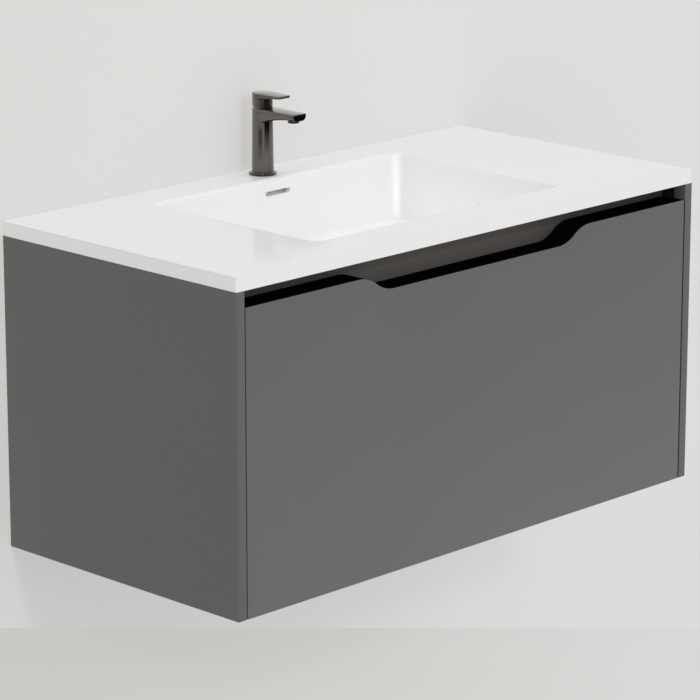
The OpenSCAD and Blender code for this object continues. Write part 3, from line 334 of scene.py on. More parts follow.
# %% Lamps
def softbox(name, place, aim, size, power, spread_angle=180):
    """A rectangular lamp of a given width and height at a place, turned towards a point, with its
    power in watts and its beam held to an angle in degrees."""
    data = bpy.data.lights.new(name, "AREA")
    data.shape, data.size, data.size_y, data.energy = "RECTANGLE", *size, power
    data.spread = math.radians(spread_angle)
    stand(name, data, place, aim).visible_camera = False


slab_middle = np.array([0, -0.25, 0])
bowl_aim = slab_middle + (0.048, 0, 0.048)
bowl_edge = np.array([0.262, -0.080, 0.033])
softbox("main_softbox", (-1.75, -7.9, 4.25), slab_middle, size=(0.9, 0.9), power=118)
softbox("top_softbox", (0.2, -0.6, 3.2), slab_middle, size=(1.8, 1.8), power=17)
softbox("bowl_lamp", bowl_aim + (-1.061, 0, 1.061), bowl_aim, size=(0.30, 0.335), power=0.035,
        spread_angle=4)
softbox("corner_lamp", bowl_edge + (-0.85, -0.85, 0.56), bowl_edge, size=(0.002, 0.09),
        power=0.0007, spread_angle=1)

# %% [markdown]
# ## Making surfaces from rings
# Most pieces here are one idea: a closed outline, carried along a path while it grows, shrinks or
# moves. Each stop on the path is a ring with the same number of points, so the mesh is a grid, and
# its faces are the cells between neighbouring rings. Vertex loops in Python would be slow and would
# hide the formula, so whole arrays are worked out at once.

# %% Mesh helpers
def grid_faces(rings, points, closed=False):
    """Cells of a grid that wraps round each ring: (i, j), (i, j+1), (i+1, j+1), (i+1, j)."""
    i, j = np.meshgrid(np.arange(rings if closed else rings - 1), np.arange(points), indexing="ij")
    k, m = (i + 1) % rings, (j + 1) % points
    cells = np.stack([i * points + j, i * points + m, k * points + m, k * points + j], -1)
    return cells.reshape(-1, 4).tolist()


def surface(name, rings, ends=False, closed=False, sharp=35):
    """A mesh from an array of rings. Ends are closed with flat faces. Equal points are merged and
    the faces are turned outwards, and shading is smooth except over edges sharper than an angle."""
    rings = np.asarray(rings, float)
    count, points = rings.shape[:2]
    faces = grid_faces(count, points, closed)
    if ends:
        first = list(range(points))
        faces += [first[::-1], [(count - 1) * points + v for v in first]]
    mesh = bpy.data.meshes.new(name)
    mesh.from_pydata(rings.reshape(-1, 3).tolist(), [], faces)
    return tidy_mesh(mesh, sharp)


def tidy_mesh(mesh, sharp=35):
    """Merges doubles, turns faces outwards and sets smooth shading with crisp creases."""
    work = bmesh.new()
    work.from_mesh(mesh)
    bmesh.ops.remove_doubles(work, verts=work.verts, dist=2e-6)
    bmesh.ops.dissolve_degenerate(work, edges=work.edges, dist=1e-7)
    bmesh.ops.recalc_face_normals(work, faces=work.faces)
    for face in work.faces:
        face.smooth = len(face.verts) <= 4
    work.to_mesh(mesh)
    work.free()
    mesh.set_sharp_from_angle(angle=math.radians(sharp))
    return mesh


def piece(name, mesh, body, slot, *nodes):
    """An object at the origin that rides on a body and stands for CAD nodes."""
    made = bpy.data.objects.new(name, mesh)
    scene.collection.objects.link(made)
    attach(made, body)
    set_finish(made, slot)
    if nodes:
        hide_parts(*nodes)
    print(f"{name}: {len(mesh.vertices)} points, {len(mesh.polygons)} faces")
    return made


# %% [markdown]
# Every outline here is made of straight lines and arcs, as on a drawing. An outline that can be
# moved in by a distance is enough to round the edges of a board.

# %% Arcs and outlines
def arc(centre, radius, start, end, steps):
    """Points centre + radius (cos a, sin a), with a running evenly from start to end in degrees."""
    a = np.radians(np.linspace(start, end, steps))
    return np.column_stack([centre[0] + radius * np.cos(a), centre[1] + radius * np.sin(a)])


def rounded_outline(low, high, corner, inset=0.0, steps=4):
    """A rectangle between two corners of a plane, moved in by inset, its corners rounded by arcs
    whose radius shrinks by the same distance."""
    (x0, y0), (x1, y1) = low, high
    r = corner
    centres = [((x1 - r, y1 - r), 0), ((x0 + r, y1 - r), 90), ((x0 + r, y0 + r), 180),
               ((x1 - r, y0 + r), 270)]
    return np.concatenate([arc(c, r - inset, a, a + 90, steps) for c, a in centres])


def soft_board(outline, start, end, arris, order, steps=5):
    """A board whose outline(inset) is carried through its thickness. Over each arris the inset is
    r (1 - sin a) at the depth r (1 - cos a), a quarter circle. order says which of outline x,
    outline y and depth goes to X, Y and Z."""
    a = np.linspace(0, np.pi / 2, steps)
    inset, depth = arris * (1 - np.sin(a)), arris * (1 - np.cos(a))
    insets = np.concatenate([inset, inset[::-1]])
    places = np.concatenate([start + depth, end - depth[::-1]])
    rings = []
    for s, t in zip(insets, places):
        flat = outline(s)
        columns = [flat[:, 0], flat[:, 1], np.full(len(flat), t)]
        rings.append(np.column_stack([columns[k] for k in order]))
    return np.array(rings)


print("arc check:", arc((0, 0), 1, 0, 90, 3).round(3).tolist())

# %% [markdown]
# ## The scooped drawer front
# The front is a 22 mm board with a lacquered face. Its upper edge dips into a finger scoop along
# two equal arcs on each side. Cutting a scoop from a box with a Boolean would leave hard arrises,
# which lacquer can't hold, so the outline is written as lines and arcs instead: moved in by a
# distance, a bulging arc loses that much radius and a hollow one gains it. The black board behind
# it has the same upper edge.

# %% Scooped outline
z_top, z_bottom, z_front = 0.065, -0.420, 0.040
scoop_depth, scoop_middle, scoop_radius = 0.025, 0.218, 0.060
scoop_turn = math.degrees(math.acos(1 - scoop_depth / (2 * scoop_radius)))
scoop_flank = scoop_radius * math.sin(math.radians(scoop_turn))


def scooped_outline(half, low, corner, inset, steps=14):
    """Once round the board against the clock: three corners, down the right flank of the scoop, up
    its left flank, and a corner. Arcs keep their middles while inset changes their radius."""
    small, big = corner - inset, scoop_radius
    outer, inner = scoop_middle + scoop_flank, scoop_middle - scoop_flank
    high, deep = z_front - big, z_front - scoop_depth + big
    return np.concatenate([
        arc((-half + corner, low + corner), small, 180, 270, 4),
        arc((half - corner, low + corner), small, 270, 360, 4),
        arc((half - corner, z_front - corner), small, 0, 90, 4),
        arc((outer, high), big - inset, 90, 90 + scoop_turn, steps),
        arc((inner, deep), big + inset, scoop_turn - 90, -90, steps),
        arc((-inner, deep), big + inset, -90, -90 - scoop_turn, steps),
        arc((-outer, high), big - inset, 90 - scoop_turn, 90, steps),
        arc((-half + corner, z_front - corner), small, 90, 180, 4)])


print("scoop flank", round(scoop_flank, 4), "turn", round(scoop_turn, 2))

# %% [markdown]
# The lacquer ends at the front arris. The upper edge behind it is left in black board, as a second
# material on the same piece.

# %% Fronts
y_front, front_depth = -0.500, 0.022
y_joint, y_inner = y_front + front_depth, y_front + 2 * front_depth
front_half, front_corner, front_arris = 0.482, 0.0012, 0.0008
inner_half, inner_low, inner_corner, inner_arris = 0.481, -0.396, 0.001, 0.0004

rings = soft_board(lambda s: scooped_outline(front_half, z_bottom, front_corner, s), y_front,
                   y_joint, front_arris, (0, 2, 1))
front = piece("lacquered_front", surface("lacquered_front", rings, ends=True), "drawer",
              "front_lacquer", "drawer_front")
black_edge = [int(p.center.y > y_front + front_arris and p.normal.z > 0.3)
              for p in front.data.polygons]
rings = soft_board(lambda s: scooped_outline(inner_half, inner_low, inner_corner, s), y_joint,
                   y_inner, inner_arris, (0, 2, 1))
piece("black_inner_front", surface("black_inner_front", rings, ends=True), "drawer", "black_board",
      "drawer_inner_front")

# %% [markdown]
# ## Side panels
# The two side panels are 16 mm boards lacquered all round. They get the same small arris as the
# front, with the rectangle as outline, carried along X.

# %% Side panels
half_width, side_inner, side_corner, side_arris = 0.500, 0.484, 0.0008, 0.0006
for name, start, end in (("side_panel_left", -half_width, -side_inner),
                         ("side_panel_right", side_inner, half_width)):
    rings = soft_board(
        lambda s: rounded_outline((y_front, z_bottom), (0.0, z_top), side_corner, s),
        start, end, side_arris, (2, 0, 1))
    piece("lacquered_" + name, surface("lacquered_" + name, rings, ends=True), "cabinet",
          "side_lacquer", name)

# %% [markdown]
# ## The basin top
# Slab and bowl are one casting: mineral filler and resin under a white gel coat, with a soft rim
# where the gel coat rolls over the edge. The surface is a single path of rounded rectangles: up the
# slab's edge, across the deck, over the rim, down the wall, along the falling floor, through the
# drain, and back outside the bowl to where it began. Close rings beside each bend keep the large
# flat parts flat when they are shaded. Only the tap hole and the overflow slot don't fit the rings,
# so those two are cut by Boolean modifiers.

# %% Rounded rectangles with many points
bowl_y, slab_w, slab_d, slab_corner = -0.250, 0.5, 0.25, 0.003
long_steps, short_steps, corner_steps = 28, 18, 10


def basin_ring(half_w, half_d, corner, z):
    """Points round a rounded rectangle about the middle of the bowl, evenly spread on each side and
    each corner arc, so that rings of different size match point by point. The second half of the
    ring is the first, turned half round: (-x, -y)."""
    w, d = half_w - corner, half_d - corner
    long, short = np.linspace(w, -w, long_steps), np.linspace(-d, d, short_steps)
    half = np.concatenate([
        np.column_stack([np.full(short_steps, half_w), short]),
        arc((w, d), corner, 0, 90, corner_steps)[1:-1],
        np.column_stack([long, np.full(long_steps, half_d)]),
        arc((-w, d), corner, 90, 180, corner_steps)[1:-1]])
    flat = np.concatenate([half, -half])
    return np.column_stack([flat[:, 0], flat[:, 1] + bowl_y, np.full(len(flat), z)])


def to_circle(ring, radius, share, height):
    """Moves a ring part of the way to a circle about the drain: (1 - s) ring + s circle, where each
    point of the circle lies in the direction of its ring point. height gives z from the radius."""
    flat = ring[:, :2] - (0, bowl_y)
    out = flat / np.linalg.norm(flat, axis=1)[:, None] * radius
    moved = (1 - share) * flat + share * out
    z = height(np.linalg.norm(moved, axis=1))
    return np.column_stack([moved[:, 0], moved[:, 1] + bowl_y, z])


print("points in a basin ring:", len(basin_ring(slab_w, slab_d, slab_corner, 0.0)))

# %% The path of the basin top
slab_top, slab_low, slab_edge = 0.087, 0.065, 0.0012
bowl_w, bowl_d, bowl_corner, rim = 0.268, 0.176, 0.016, 0.005
bowl_floor, floor_bend, drain_z, bowl_low, wall_t = -0.023, 0.008, -0.029, -0.038, 0.009
guard, deck_guard, rim_guard = 0.002, 0.0025, 0.0015
fall_radius = bowl_d - floor_bend
quarter = np.radians(np.linspace(0, 90, 8))
falling = lambda r: drain_z + (bowl_floor - drain_z) * np.minimum(1, r / fall_radius)


def slab_ring(inset, z):
    """A ring of the slab's outline, moved in."""
    return basin_ring(slab_w - inset, slab_d - inset, slab_corner - inset, z)


def bowl_ring(outset, z):
    """A ring of the bowl's outline, moved out."""
    return basin_ring(bowl_w + outset, bowl_d + outset, bowl_corner + outset, z)


path = [slab_ring(0, slab_low), slab_ring(0, slab_low + guard / 2),
        slab_ring(0, slab_top - slab_edge - guard / 2)]
path += [slab_ring(slab_edge * (1 - math.cos(a)), slab_top - slab_edge * (1 - math.sin(a)))
         for a in quarter]
path.append(basin_ring(slab_w - deck_guard, slab_d - deck_guard, slab_corner / 2, slab_top))
path.append(basin_ring(bowl_w + rim + rim_guard, bowl_d + rim + rim_guard, bowl_corner + rim,
                       slab_top))
path += [bowl_ring(rim * (1 - math.sin(a)), slab_top - rim * (1 - math.cos(a))) for a in quarter]
path += [bowl_ring(0, slab_top - rim - guard), bowl_ring(0, bowl_floor + floor_bend + guard)]
path += [bowl_ring(-floor_bend * (1 - math.cos(a)), bowl_floor + floor_bend * (1 - math.sin(a)))
         for a in quarter]
print("rings so far:", len(path))

# %% [markdown]
# From here the path closes in on the drain. A rounded rectangle can't shrink evenly to a small
# circle, so each ring is a mix of the two, and its height is that of a shallow cone: it falls from
# the edge of the bowl floor to the drain. Then the path goes through the drain hole and home again
# along the underside.

# %% Bowl floor, drain and underside
recess_r, drain_r, under_r = 0.035, 0.0225, 0.045
outer_bend = floor_bend + wall_t
level = lambda height: lambda r: np.full(len(r), height)
last_flat = path[-1]
path += [to_circle(last_flat, recess_r, share, falling) for share in np.linspace(0, 1, 15)[1:]]
path.append(to_circle(last_flat, recess_r, 1, level(drain_z)))
path += [to_circle(last_flat, drain_r, 1, level(z)) for z in (drain_z, bowl_low)]
outside = [bowl_ring(wall_t - outer_bend * (1 - math.sin(a)),
                     bowl_low + outer_bend * (1 - math.cos(a))) for a in quarter]
path += [to_circle(outside[0], under_r, share, level(bowl_low))
         for share in np.linspace(1, 0, 6)[:-1]]
path += outside
path += [bowl_ring(wall_t, slab_low), bowl_ring(wall_t + guard, slab_low)]
print("rings in the basin path:", len(path))


# %% [markdown]
# The two holes are cut with a Boolean on throw-away objects. The result is taken as a plain mesh,
# so no modifier is left on the piece.

# %% Cutting helper
def cut(mesh, cutters, operation="DIFFERENCE", sharp=35):
    """The first mesh with the others taken away from it or joined to it, as a new clean mesh."""
    block = bpy.data.objects.new("block", mesh)
    scene.collection.objects.link(block)
    tools = []
    for cutter in cutters:
        tool = bpy.data.objects.new("tool", cutter)
        scene.collection.objects.link(tool)
        tools.append(tool)
        step = block.modifiers.new("step", "BOOLEAN")
        step.operation, step.solver, step.object = operation, "EXACT", tool
    graph = bpy.context.evaluated_depsgraph_get()
    made = bpy.data.meshes.new_from_object(block.evaluated_get(graph))
    made.name = mesh.name
    for thing in [block, *tools]:
        bpy.data.objects.remove(thing)
    return tidy_mesh(made, sharp)


def ring_at(centre, radius, axis, place, points=48):
    """A circle round an axis (0 X, 1 Y, 2 Z) at a place along it."""
    flat = arc((0, 0), radius, 0, 360, points + 1)[:-1]
    ring = np.zeros((points, 3))
    others = [k for k in range(3) if k != axis]
    ring[:, others] = flat + np.array(centre)
    ring[:, axis] = place
    return ring


def bar(name, centre, radius, axis, start, end, points=48):
    """A closed cylinder along an axis."""
    rings = [ring_at(centre, radius, axis, place, points) for place in (start, end)]
    return surface(name, rings, ends=True)


# %% Tap hole and overflow slot
tap_y, tap_hole_r, hole_low, hole_high = -0.040, 0.017, 0.060, 0.090
slot_half, slot_low, slot_high, slot_corner = 0.0265, 0.059, 0.067, 0.0034
slot_front, slot_back = -0.084, -0.059
slot_outline = rounded_outline((-slot_half, slot_low), (slot_half, slot_high), slot_corner, 0, 8)
slot_rings = [np.column_stack([slot_outline[:, 0], np.full(len(slot_outline), y),
                               slot_outline[:, 1]]) for y in (slot_front, slot_back)]
basin_mesh = cut(surface("cast_basin", path, closed=True),
                 [bar("tap_hole", (0, tap_y), tap_hole_r, 2, hole_low, hole_high),
                  surface("overflow_slot", slot_rings, ends=True)])
piece("cast_basin", basin_mesh, "cabinet", "basin_cast", "basin_top")

# %% [markdown]
# ## The tap
# The tap is one turned body, with the spout drawn out of it. The body is a profile turned round the
# axis, the spout is a row of sections that thin towards the tip, and the two are joined by a
# Boolean. The water ways are then drilled in the same way as on the real casting.

# %% Turned body
deck, body_high, spout_len = slab_top, 0.1065, 0.083
spigot_r, spigot_low, seal_seat = 0.0167, -0.006, 0.0008
foot_r, foot_bend, cove, column_r, column_top_r = 0.020, 0.002, 0.0015, 0.0176, 0.0163
body_arris = 0.0004


def turned(name, profile, centre, points=96):
    """A profile of (radius, z) pairs turned round an upright axis; radius 0 closes a pole."""
    profile = np.asarray(profile, float)
    a = np.linspace(0, 2 * np.pi, points, endpoint=False)
    r, z = profile[:, :1], np.repeat(profile[:, 1:], points, 1)
    rings = np.stack([centre[0] + r * np.cos(a), centre[1] + r * np.sin(a), z], -1)
    return surface(name, rings, sharp=30)


def bend(centre, radius, start, end, steps=6):
    """An arc as (radius, z) pairs of a turned profile."""
    return arc(centre, radius, start, end, steps).tolist()


arris_middle = (column_top_r - body_arris, body_high - body_arris)
profile = [(0, spigot_low), (spigot_r, spigot_low), (spigot_r, seal_seat), (foot_r, seal_seat),
           (foot_r, 0.0), *bend((foot_r, foot_bend), foot_bend, -90, 90, 9),
           (column_r + cove, 2 * foot_bend),
           *bend((column_r + cove, 2 * foot_bend + cove), cove, 270, 180, 5),
           (column_top_r, body_high - body_arris),
           *bend(arris_middle, body_arris, 0, 90, 4), (0, body_high)]
body_mesh = turned("tap_column", [(r, z + deck) for r, z in profile], (0, tap_y))

# %% Spout
tip_high, root_extra, rise_power = 0.011, 0.015, 2.2
tip_half_w, root_half_w, low_corner, top_corner, tip_arris = 0.0137, 0.0157, 0.0075, 0.0008, 0.0006


def spout_ring(f, inset=0.0):
    """Section of the spout at a distance f from the axis. The top is level, the underside rises
    with (1 - f / reach) to the power 2.2, and the lower corners are full arcs."""
    t = f / spout_len
    low = body_high - tip_high - root_extra * max(0.0, 1 - t) ** rise_power + inset
    half = tip_half_w + (root_half_w - tip_half_w) * (1 - t) - inset
    top, soft, fine = body_high - inset, low_corner - inset, top_corner
    flat = np.concatenate([arc((half - fine, top - fine), fine, 0, 90, 4),
                           arc((fine - half, top - fine), fine, 90, 180, 4),
                           arc((soft - half, low + soft), soft, 180, 270, 10),
                           arc((half - soft, low + soft), soft, 270, 360, 10)])
    return np.column_stack([flat[:, 0], np.full(len(flat), tap_y - f), flat[:, 1] + deck])


spout = [spout_ring(f) for f in np.linspace(0, spout_len - tip_arris, 26)]
spout += [spout_ring(spout_len - tip_arris + tip_arris * math.sin(a), tip_arris * (1 - math.cos(a)))
          for a in np.radians([30, 60, 90])]
spout_mesh = surface("tap_spout", spout, ends=True, sharp=30)
print("spout sections:", len(spout))

# %% Water ways
outlet_y, inlet_x, stud_y, below = tap_y - 0.069, 0.0075, tap_y + 0.010, deck - 0.007
# name, centre across the axis, radius, axis, start, end, points round the circle
bores = [("chamber", (0, tap_y), 0.013, 2, deck + 0.068, deck + 0.112, 64),
         ("nut_bore", (0, tap_y), 0.0145, 2, deck + 0.094, deck + 0.112, 64),
         ("lead", (0, deck + 0.101), 0.003, 1, outlet_y, tap_y, 24),
         ("mouth", (0, outlet_y), 0.0086, 2, deck, deck + 0.099, 64),
         ("spigot_bore", (0, tap_y), 0.0135, 2, below, deck + 0.0015, 64),
         ("stud_bore", (0, stud_y), 0.0041, 2, below, deck + 0.012, 24)]
for x in (-inlet_x, inlet_x):
    bores += [("inlet", (x, tap_y), 0.005, 2, deck, deck + 0.012, 32),
              ("way", (x, tap_y), 0.0025, 2, deck + 0.011, deck + 0.069, 24)]
tap_mesh = cut(cut(body_mesh, [spout_mesh], "UNION", 30), [bar(*row) for row in bores], sharp=30)
tap_mesh.name = "turned_tap"
piece("turned_tap", tap_mesh, "cabinet", "gunmetal", "tap_body")

# %% [markdown]
# The lever is a cap with a blade. Seen from above it is one outline: half a circle behind, and two
# straight sides that close in to the tip. Each point of that outline has a partner on the circle of
# the cap, in the same direction from the axis. Going down from the top, the surface follows the
# outline, steps in to the partner under the blade, and follows the circle to the foot of the cap.

# %% Lever outline
cap_r, lever_len, tip_half, tip_corner = 0.0164, 0.050, 0.0128, 0.003


def lever_outline(inset):
    """Half circle, two straight sides and a tip with two corner arcs, moved in by inset."""
    r, c, y = cap_r - inset, tip_corner - inset, -lever_len + tip_corner
    side = np.linspace(0, 1, 24)[:, None]
    right = (1 - side) * (cap_r - inset, 0) + side * (tip_half - inset, y)
    front = np.linspace(-1, 1, 12)[1:-1, None] * (tip_half - tip_corner, 0)
    return np.concatenate([
        arc((0, 0), r, 0, 180, 49)[:-1], (right * (-1, 1))[:-1],
        arc((tip_corner - tip_half, y), c, 180, 270, 7),
        front + (0, y - c),
        arc((tip_half - tip_corner, y), c, 270, 360, 7),
        right[::-1][1:-1]])


outline = lever_outline(0)
partner = outline / np.linalg.norm(outline, axis=1)[:, None] * cap_r
ledge = np.linalg.norm(outline - partner, axis=1)
print("lever outline points:", len(outline), "widest ledge:", ledge.max().round(4))

# %% Lever surface
lever_top, blade_root, blade_tip, blade_len = body_high + 0.024, 0.007, 0.0036, 0.051
cap_gap, lift_room, inside_r, inside_high = 0.0005, math.radians(18), 0.0144, 0.0105
arris, cap_arris, step_down, bends = 0.0004, 0.0003, 0.00001, np.radians([0, 30, 60, 90])
ledge_share = 0.45
square_half, square_low, square_high = 0.0031, 0.115, 0.1243
grub_high, grub_r, grub_len = 0.014, 0.0026, 0.020
blade_low = lambda y: (lever_top - blade_root
                       - (blade_root - blade_tip) * np.minimum(y, 0) / blade_len)
cap_low = lambda y: body_high + cap_gap + np.maximum(y, 0) * math.tan(lift_room)


def lever_ring(flat, z):
    """A ring of the lever from its points about the axis and their heights over the deck."""
    return np.column_stack([flat[:, 0], flat[:, 1] + tap_y, np.broadcast_to(z, len(flat)) + deck])


rings = [lever_ring(lever_outline(arris * (1 - math.sin(a))),
                    lever_top - arris * (1 - math.cos(a))) for a in bends]
drawn_in = np.minimum(arris, ledge_share * ledge)
for a in bends:
    share = (1 - math.cos(a)) * drawn_in / np.maximum(ledge, 1e-9)
    flat = outline + (partner - outline) * share[:, None]
    rings.append(lever_ring(flat, blade_low(outline[:, 1]) + drawn_in * (1 - math.sin(a))))
rings.append(lever_ring(partner, blade_low(partner[:, 1]) - step_down))
for a in bends:
    flat = partner * (1 - cap_arris / cap_r * (1 - math.cos(a)))
    rings.append(lever_ring(flat, cap_low(partner[:, 1]) + cap_arris * (1 - math.sin(a))))
inside = partner * (inside_r / cap_r)
rings += [lever_ring(inside, cap_low(inside[:, 1])),
          lever_ring(inside, body_high + inside_high)]
square = np.array([[-1, -1], [1, -1], [1, 1], [-1, 1]]) * square_half
square_hole = surface("square_hole", [lever_ring(square, z) for z in (square_low, square_high)],
                      ends=True)
grub_bore = bar("grub_bore", (0, deck + body_high + grub_high), grub_r, 1, tap_y, tap_y + grub_len,
                32)
lever_mesh = cut(surface("filed_lever", rings, ends=True, sharp=30), [square_hole, grub_bore],
                 sharp=30)
piece("filed_lever", lever_mesh, "tap_handle", "gunmetal", "tap_lever")

# %% [markdown]
# ## Finishes
# One finish stands for one thing a workshop would buy or spray. Three effects are shared by several
# of them, and each is a node group with named inputs: the fine orange peel of sprayed coats, the
# lines that brushing leaves on metal, and the slow clouds of tone that keep a large plain area from
# looking like a drawing.

# %% Shared effects
def group(name, inputs, outputs):
    """A node group with sockets of given names and kinds, and its two end nodes."""
    tree = bpy.data.node_groups.new(name, "ShaderNodeTree")
    for label, kind, value in inputs:
        socket = tree.interface.new_socket(label, in_out="INPUT", socket_type="NodeSocket" + kind)
        socket.default_value = value
    for label, kind in outputs:
        tree.interface.new_socket(label, in_out="OUTPUT", socket_type="NodeSocket" + kind)
    return tree, tree.nodes.new("NodeGroupInput"), tree.nodes.new("NodeGroupOutput")


peel, source, result = group("orange_peel", [("Size", "Float", 900.0)], [("Height", "Float")])
spot = here(peel)
fine = put(peel, "ShaderNodeTexNoise", Vector=spot, Scale=source.outputs["Size"], Detail=2.0)
wide = times(peel, source.outputs["Size"], 0.16)
broad = put(peel, "ShaderNodeTexNoise", Vector=spot, Scale=wide, Detail=1.0)
height = maths(peel, "ADD", times(peel, fine.outputs["Fac"], 0.35),
               times(peel, broad.outputs["Fac"], 0.65))
join(peel, height, result.inputs["Height"])

clouds, source, result = group("slow_clouds", [("Size", "Float", 3.0), ("Amount", "Float", 0.05)],
                               [("Light", "Float")])
spot = here(clouds)
cloud = put(clouds, "ShaderNodeTexNoise", Vector=spot, Scale=source.outputs["Size"], Detail=4.0)
swing = times(clouds, maths(clouds, "SUBTRACT", cloud.outputs["Fac"], 0.5),
              source.outputs["Amount"])
join(clouds, maths(clouds, "ADD", swing, 1.0), result.inputs["Light"])

brush, source, result = group("brush_lines", [("Along", "Vector", (40, 40, 4000))],
                              [("Lines", "Float")])
spot = here(brush)
stretched = put(brush, "ShaderNodeVectorMath", {"operation": "MULTIPLY"})
join(brush, spot, stretched.inputs[0])
join(brush, source.outputs["Along"], stretched.inputs[1])
lines = put(brush, "ShaderNodeTexNoise", Vector=stretched.outputs[0], Scale=1.0, Detail=3.0)
join(brush, lines.outputs["Fac"], result.inputs["Lines"])
print("groups:", [g.name for g in bpy.data.node_groups])

# %% [markdown]
# Each finish is a short function that gives values to the sockets of one Principled shader. The
# helpers below place a shared effect, tint a colour with it, and turn a height into a bump.

# %% Finish helper
finishes = {}


def use(tree, name, **inputs):
    """Places a shared effect in a material with its own values and returns its first output."""
    made = tree.nodes.new("ShaderNodeGroup")
    made.node_tree = bpy.data.node_groups[name]
    for key, value in inputs.items():
        join(tree, value, made.inputs[key])
    return made.outputs[0]


def tinted(tree, colour, light):
    """A colour times a light value that changes over the surface."""
    made = put(tree, "ShaderNodeVectorMath", {"operation": "SCALE"})
    join(tree, colour[:3] if isinstance(colour, tuple) else colour, made.inputs[0])
    join(tree, light, made.inputs["Scale"])
    return made.outputs[0]


def bumped(tree, height, distance, strength=1.0):
    """The normal of a surface whose skin rises by a distance with a height value."""
    return put(tree, "ShaderNodeBump", Height=height, Distance=distance,
               Strength=strength).outputs[0]


def finish(name, build, **plain):
    """A material round one Principled shader, kept in finishes. build adds its nodes and gives the
    links, and plain holds the values that stand on the shader's own sockets."""
    material, tree = empty_material(name)
    shader = put(tree, "ShaderNodeBsdfPrincipled", **plain)
    for key, value in build(tree).items():
        join(tree, value, shader.inputs[key])
    put(tree, "ShaderNodeOutputMaterial", Surface=shader.outputs[0])
    finishes[name] = material


# %% [markdown]
# The silk lacquer is painted a little lighter towards the floor, most of all on the wide front:
# painted light, as if lit from below. It has an orange peel too fine to see as bumps but wide
# enough to break up a reflection. The inner faces of the side panels are left in black board, as in
# the photograph. Their front 22 mm is grey only above the drawer front; below it, black stands as
# painted shade in the reveal.

# %% Lacquer
def above(tree, value, limit):
    """1 where the value is over the limit, 0 elsewhere."""
    return maths(tree, "GREATER_THAN", value, limit)


def under(tree, value, limit):
    """1 where the value is under the limit, 0 elsewhere."""
    return maths(tree, "LESS_THAN", value, limit)


def lacquer(colour, black_where, lift):
    """Sprayed silk lacquer, painted lighter towards the floor by a share as painted light from
    below.
    black_where(x, y, z) masks the faces that are left in black board or painted black as shade."""
    def build(tree):
        x, y, z = split(tree, here(tree))
        # painted light: the colour is lighter towards the floor by the share, as if lit from below
        light = times(tree, use(tree, "slow_clouds", Size=2.2, Amount=0.10),
                      ramp(tree, z, z_bottom, z_front, 1.0 + lift, 1.0 - lift))
        skin = use(tree, "orange_peel", Size=1100.0)
        mask = black_where(tree, x, y, z)
        return {"Base Color": blend_colours(tree, mask, tinted(tree, colour, light),
                                            tone(19, 19, 19)),
                "Roughness": maths(tree, "ADD", spread(tree, skin, 0.46, 0.54),
                                   times(tree, mask, 0.4)),
                "Normal": bumped(tree, skin, 0.00004, 0.5)}
    return build


def black_lining_and_reveal_shade(tree, x, y, z):
    """The inner face of a side panel, but for the corner seen over the front: 22 mm deep. Below the
    top of the front, that 22 mm strip is black too, as painted shade in the narrow reveal.
    """
    inward = under(tree, maths(tree, "ABSOLUTE", x), side_inner + 0.0002)
    # painted shade: black below the top of the front, where the narrow reveal lies in shade
    hidden = maths(tree, "MAXIMUM", above(tree, y, y_joint), under(tree, z, z_front - 0.001))
    return times(tree, inward, hidden)


finish("side_lacquer", lacquer(tone(102, 101, 99), black_lining_and_reveal_shade, 0.03), Specular_IOR_Level=0.35)
finish("front_lacquer", lacquer(tone(106, 106, 106), lambda *_: 0.0, 0.10), Specular_IOR_Level=0.35)
print("lacquers:", list(finishes))

# %% [markdown]
# The rail and the drawer box are melamine board: a printed tone under a dry, hard film. Faint
# fibres along the board keep it from looking like plastic. The black board has no mirror at all,
# because the gap it stands in is the darkest thing in the photograph.

# %% Boards
def decor(colour, grain):
    """Melamine board: a printed tone with faint fibres along X and a dry, even grain."""
    def build(tree):
        fibres = use(tree, "brush_lines", Along=grain)
        light = times(tree, use(tree, "slow_clouds", Size=5.0, Amount=0.12),
                      spread(tree, fibres, 0.94, 1.06))
        return {"Base Color": tinted(tree, colour, light),
                "Roughness": spread(tree, fibres, 0.55, 0.68),
                "Normal": bumped(tree, fibres, 0.00003, 0.6)}
    return build


finish("rail_board", decor(tone(91, 87, 84), (30, 900, 900)))
finish("black_board", decor(tone(7, 7, 7), (30, 900, 900)), Specular_IOR_Level=0.0)
finish("drawer_board", decor(tone(74, 73, 72), (30, 700, 700)))
print("with boards:", list(finishes))

# %% [markdown]
# The basin is cast in a mould that was sprayed with gel coat first, so its surface is a thin glossy
# skin. Subsurface light would be slow and hardly show at this size, so the shader is a plain one
# with a weak mirror: in the photograph the tap is barely seen in the deck.

# %% Gel coat
def gel_coat(tree):
    """Glossy white gel coat with painted light: whiter in the bowl and on the edges than on the
    open deck, as in the photograph."""
    skin = use(tree, "orange_peel", Size=420.0)
    light = use(tree, "slow_clouds", Size=4.0, Amount=0.02)
    # painted light: the coat is painted whiter below the level of the deck, in the bowl and on the
    # edges
    painted_bowl_light = ramp(tree, split(tree, here(tree))[2], slab_top - 0.0035, slab_top - 0.0005, 1.0, 0.0)
    coat = blend_colours(tree, painted_bowl_light, tone(241, 240, 239), tone(249, 249, 248))
    return {"Base Color": tinted(tree, coat, light),
            "Roughness": spread(tree, skin, 0.08, 0.12),
            "Normal": bumped(tree, skin, 0.00002, 0.35)}


finish("basin_cast", gel_coat, Specular_IOR_Level=0.05)
print("gel coat:", finishes["basin_cast"].name)

# %% [markdown]
# The tap's dark finish is a vapour coat on polished brass. The photograph shows it darkest in the
# corners, under the blade, on the foot's rounded edge and on the two cut tips. Here the colour is
# painted darker in those places: painted shade in the corners and under the blade, and painted dark
# reflections on the foot's edge, the tips and the front of the cap. These places are found from the
# piece's own coordinates and normals, so they move with the lever.

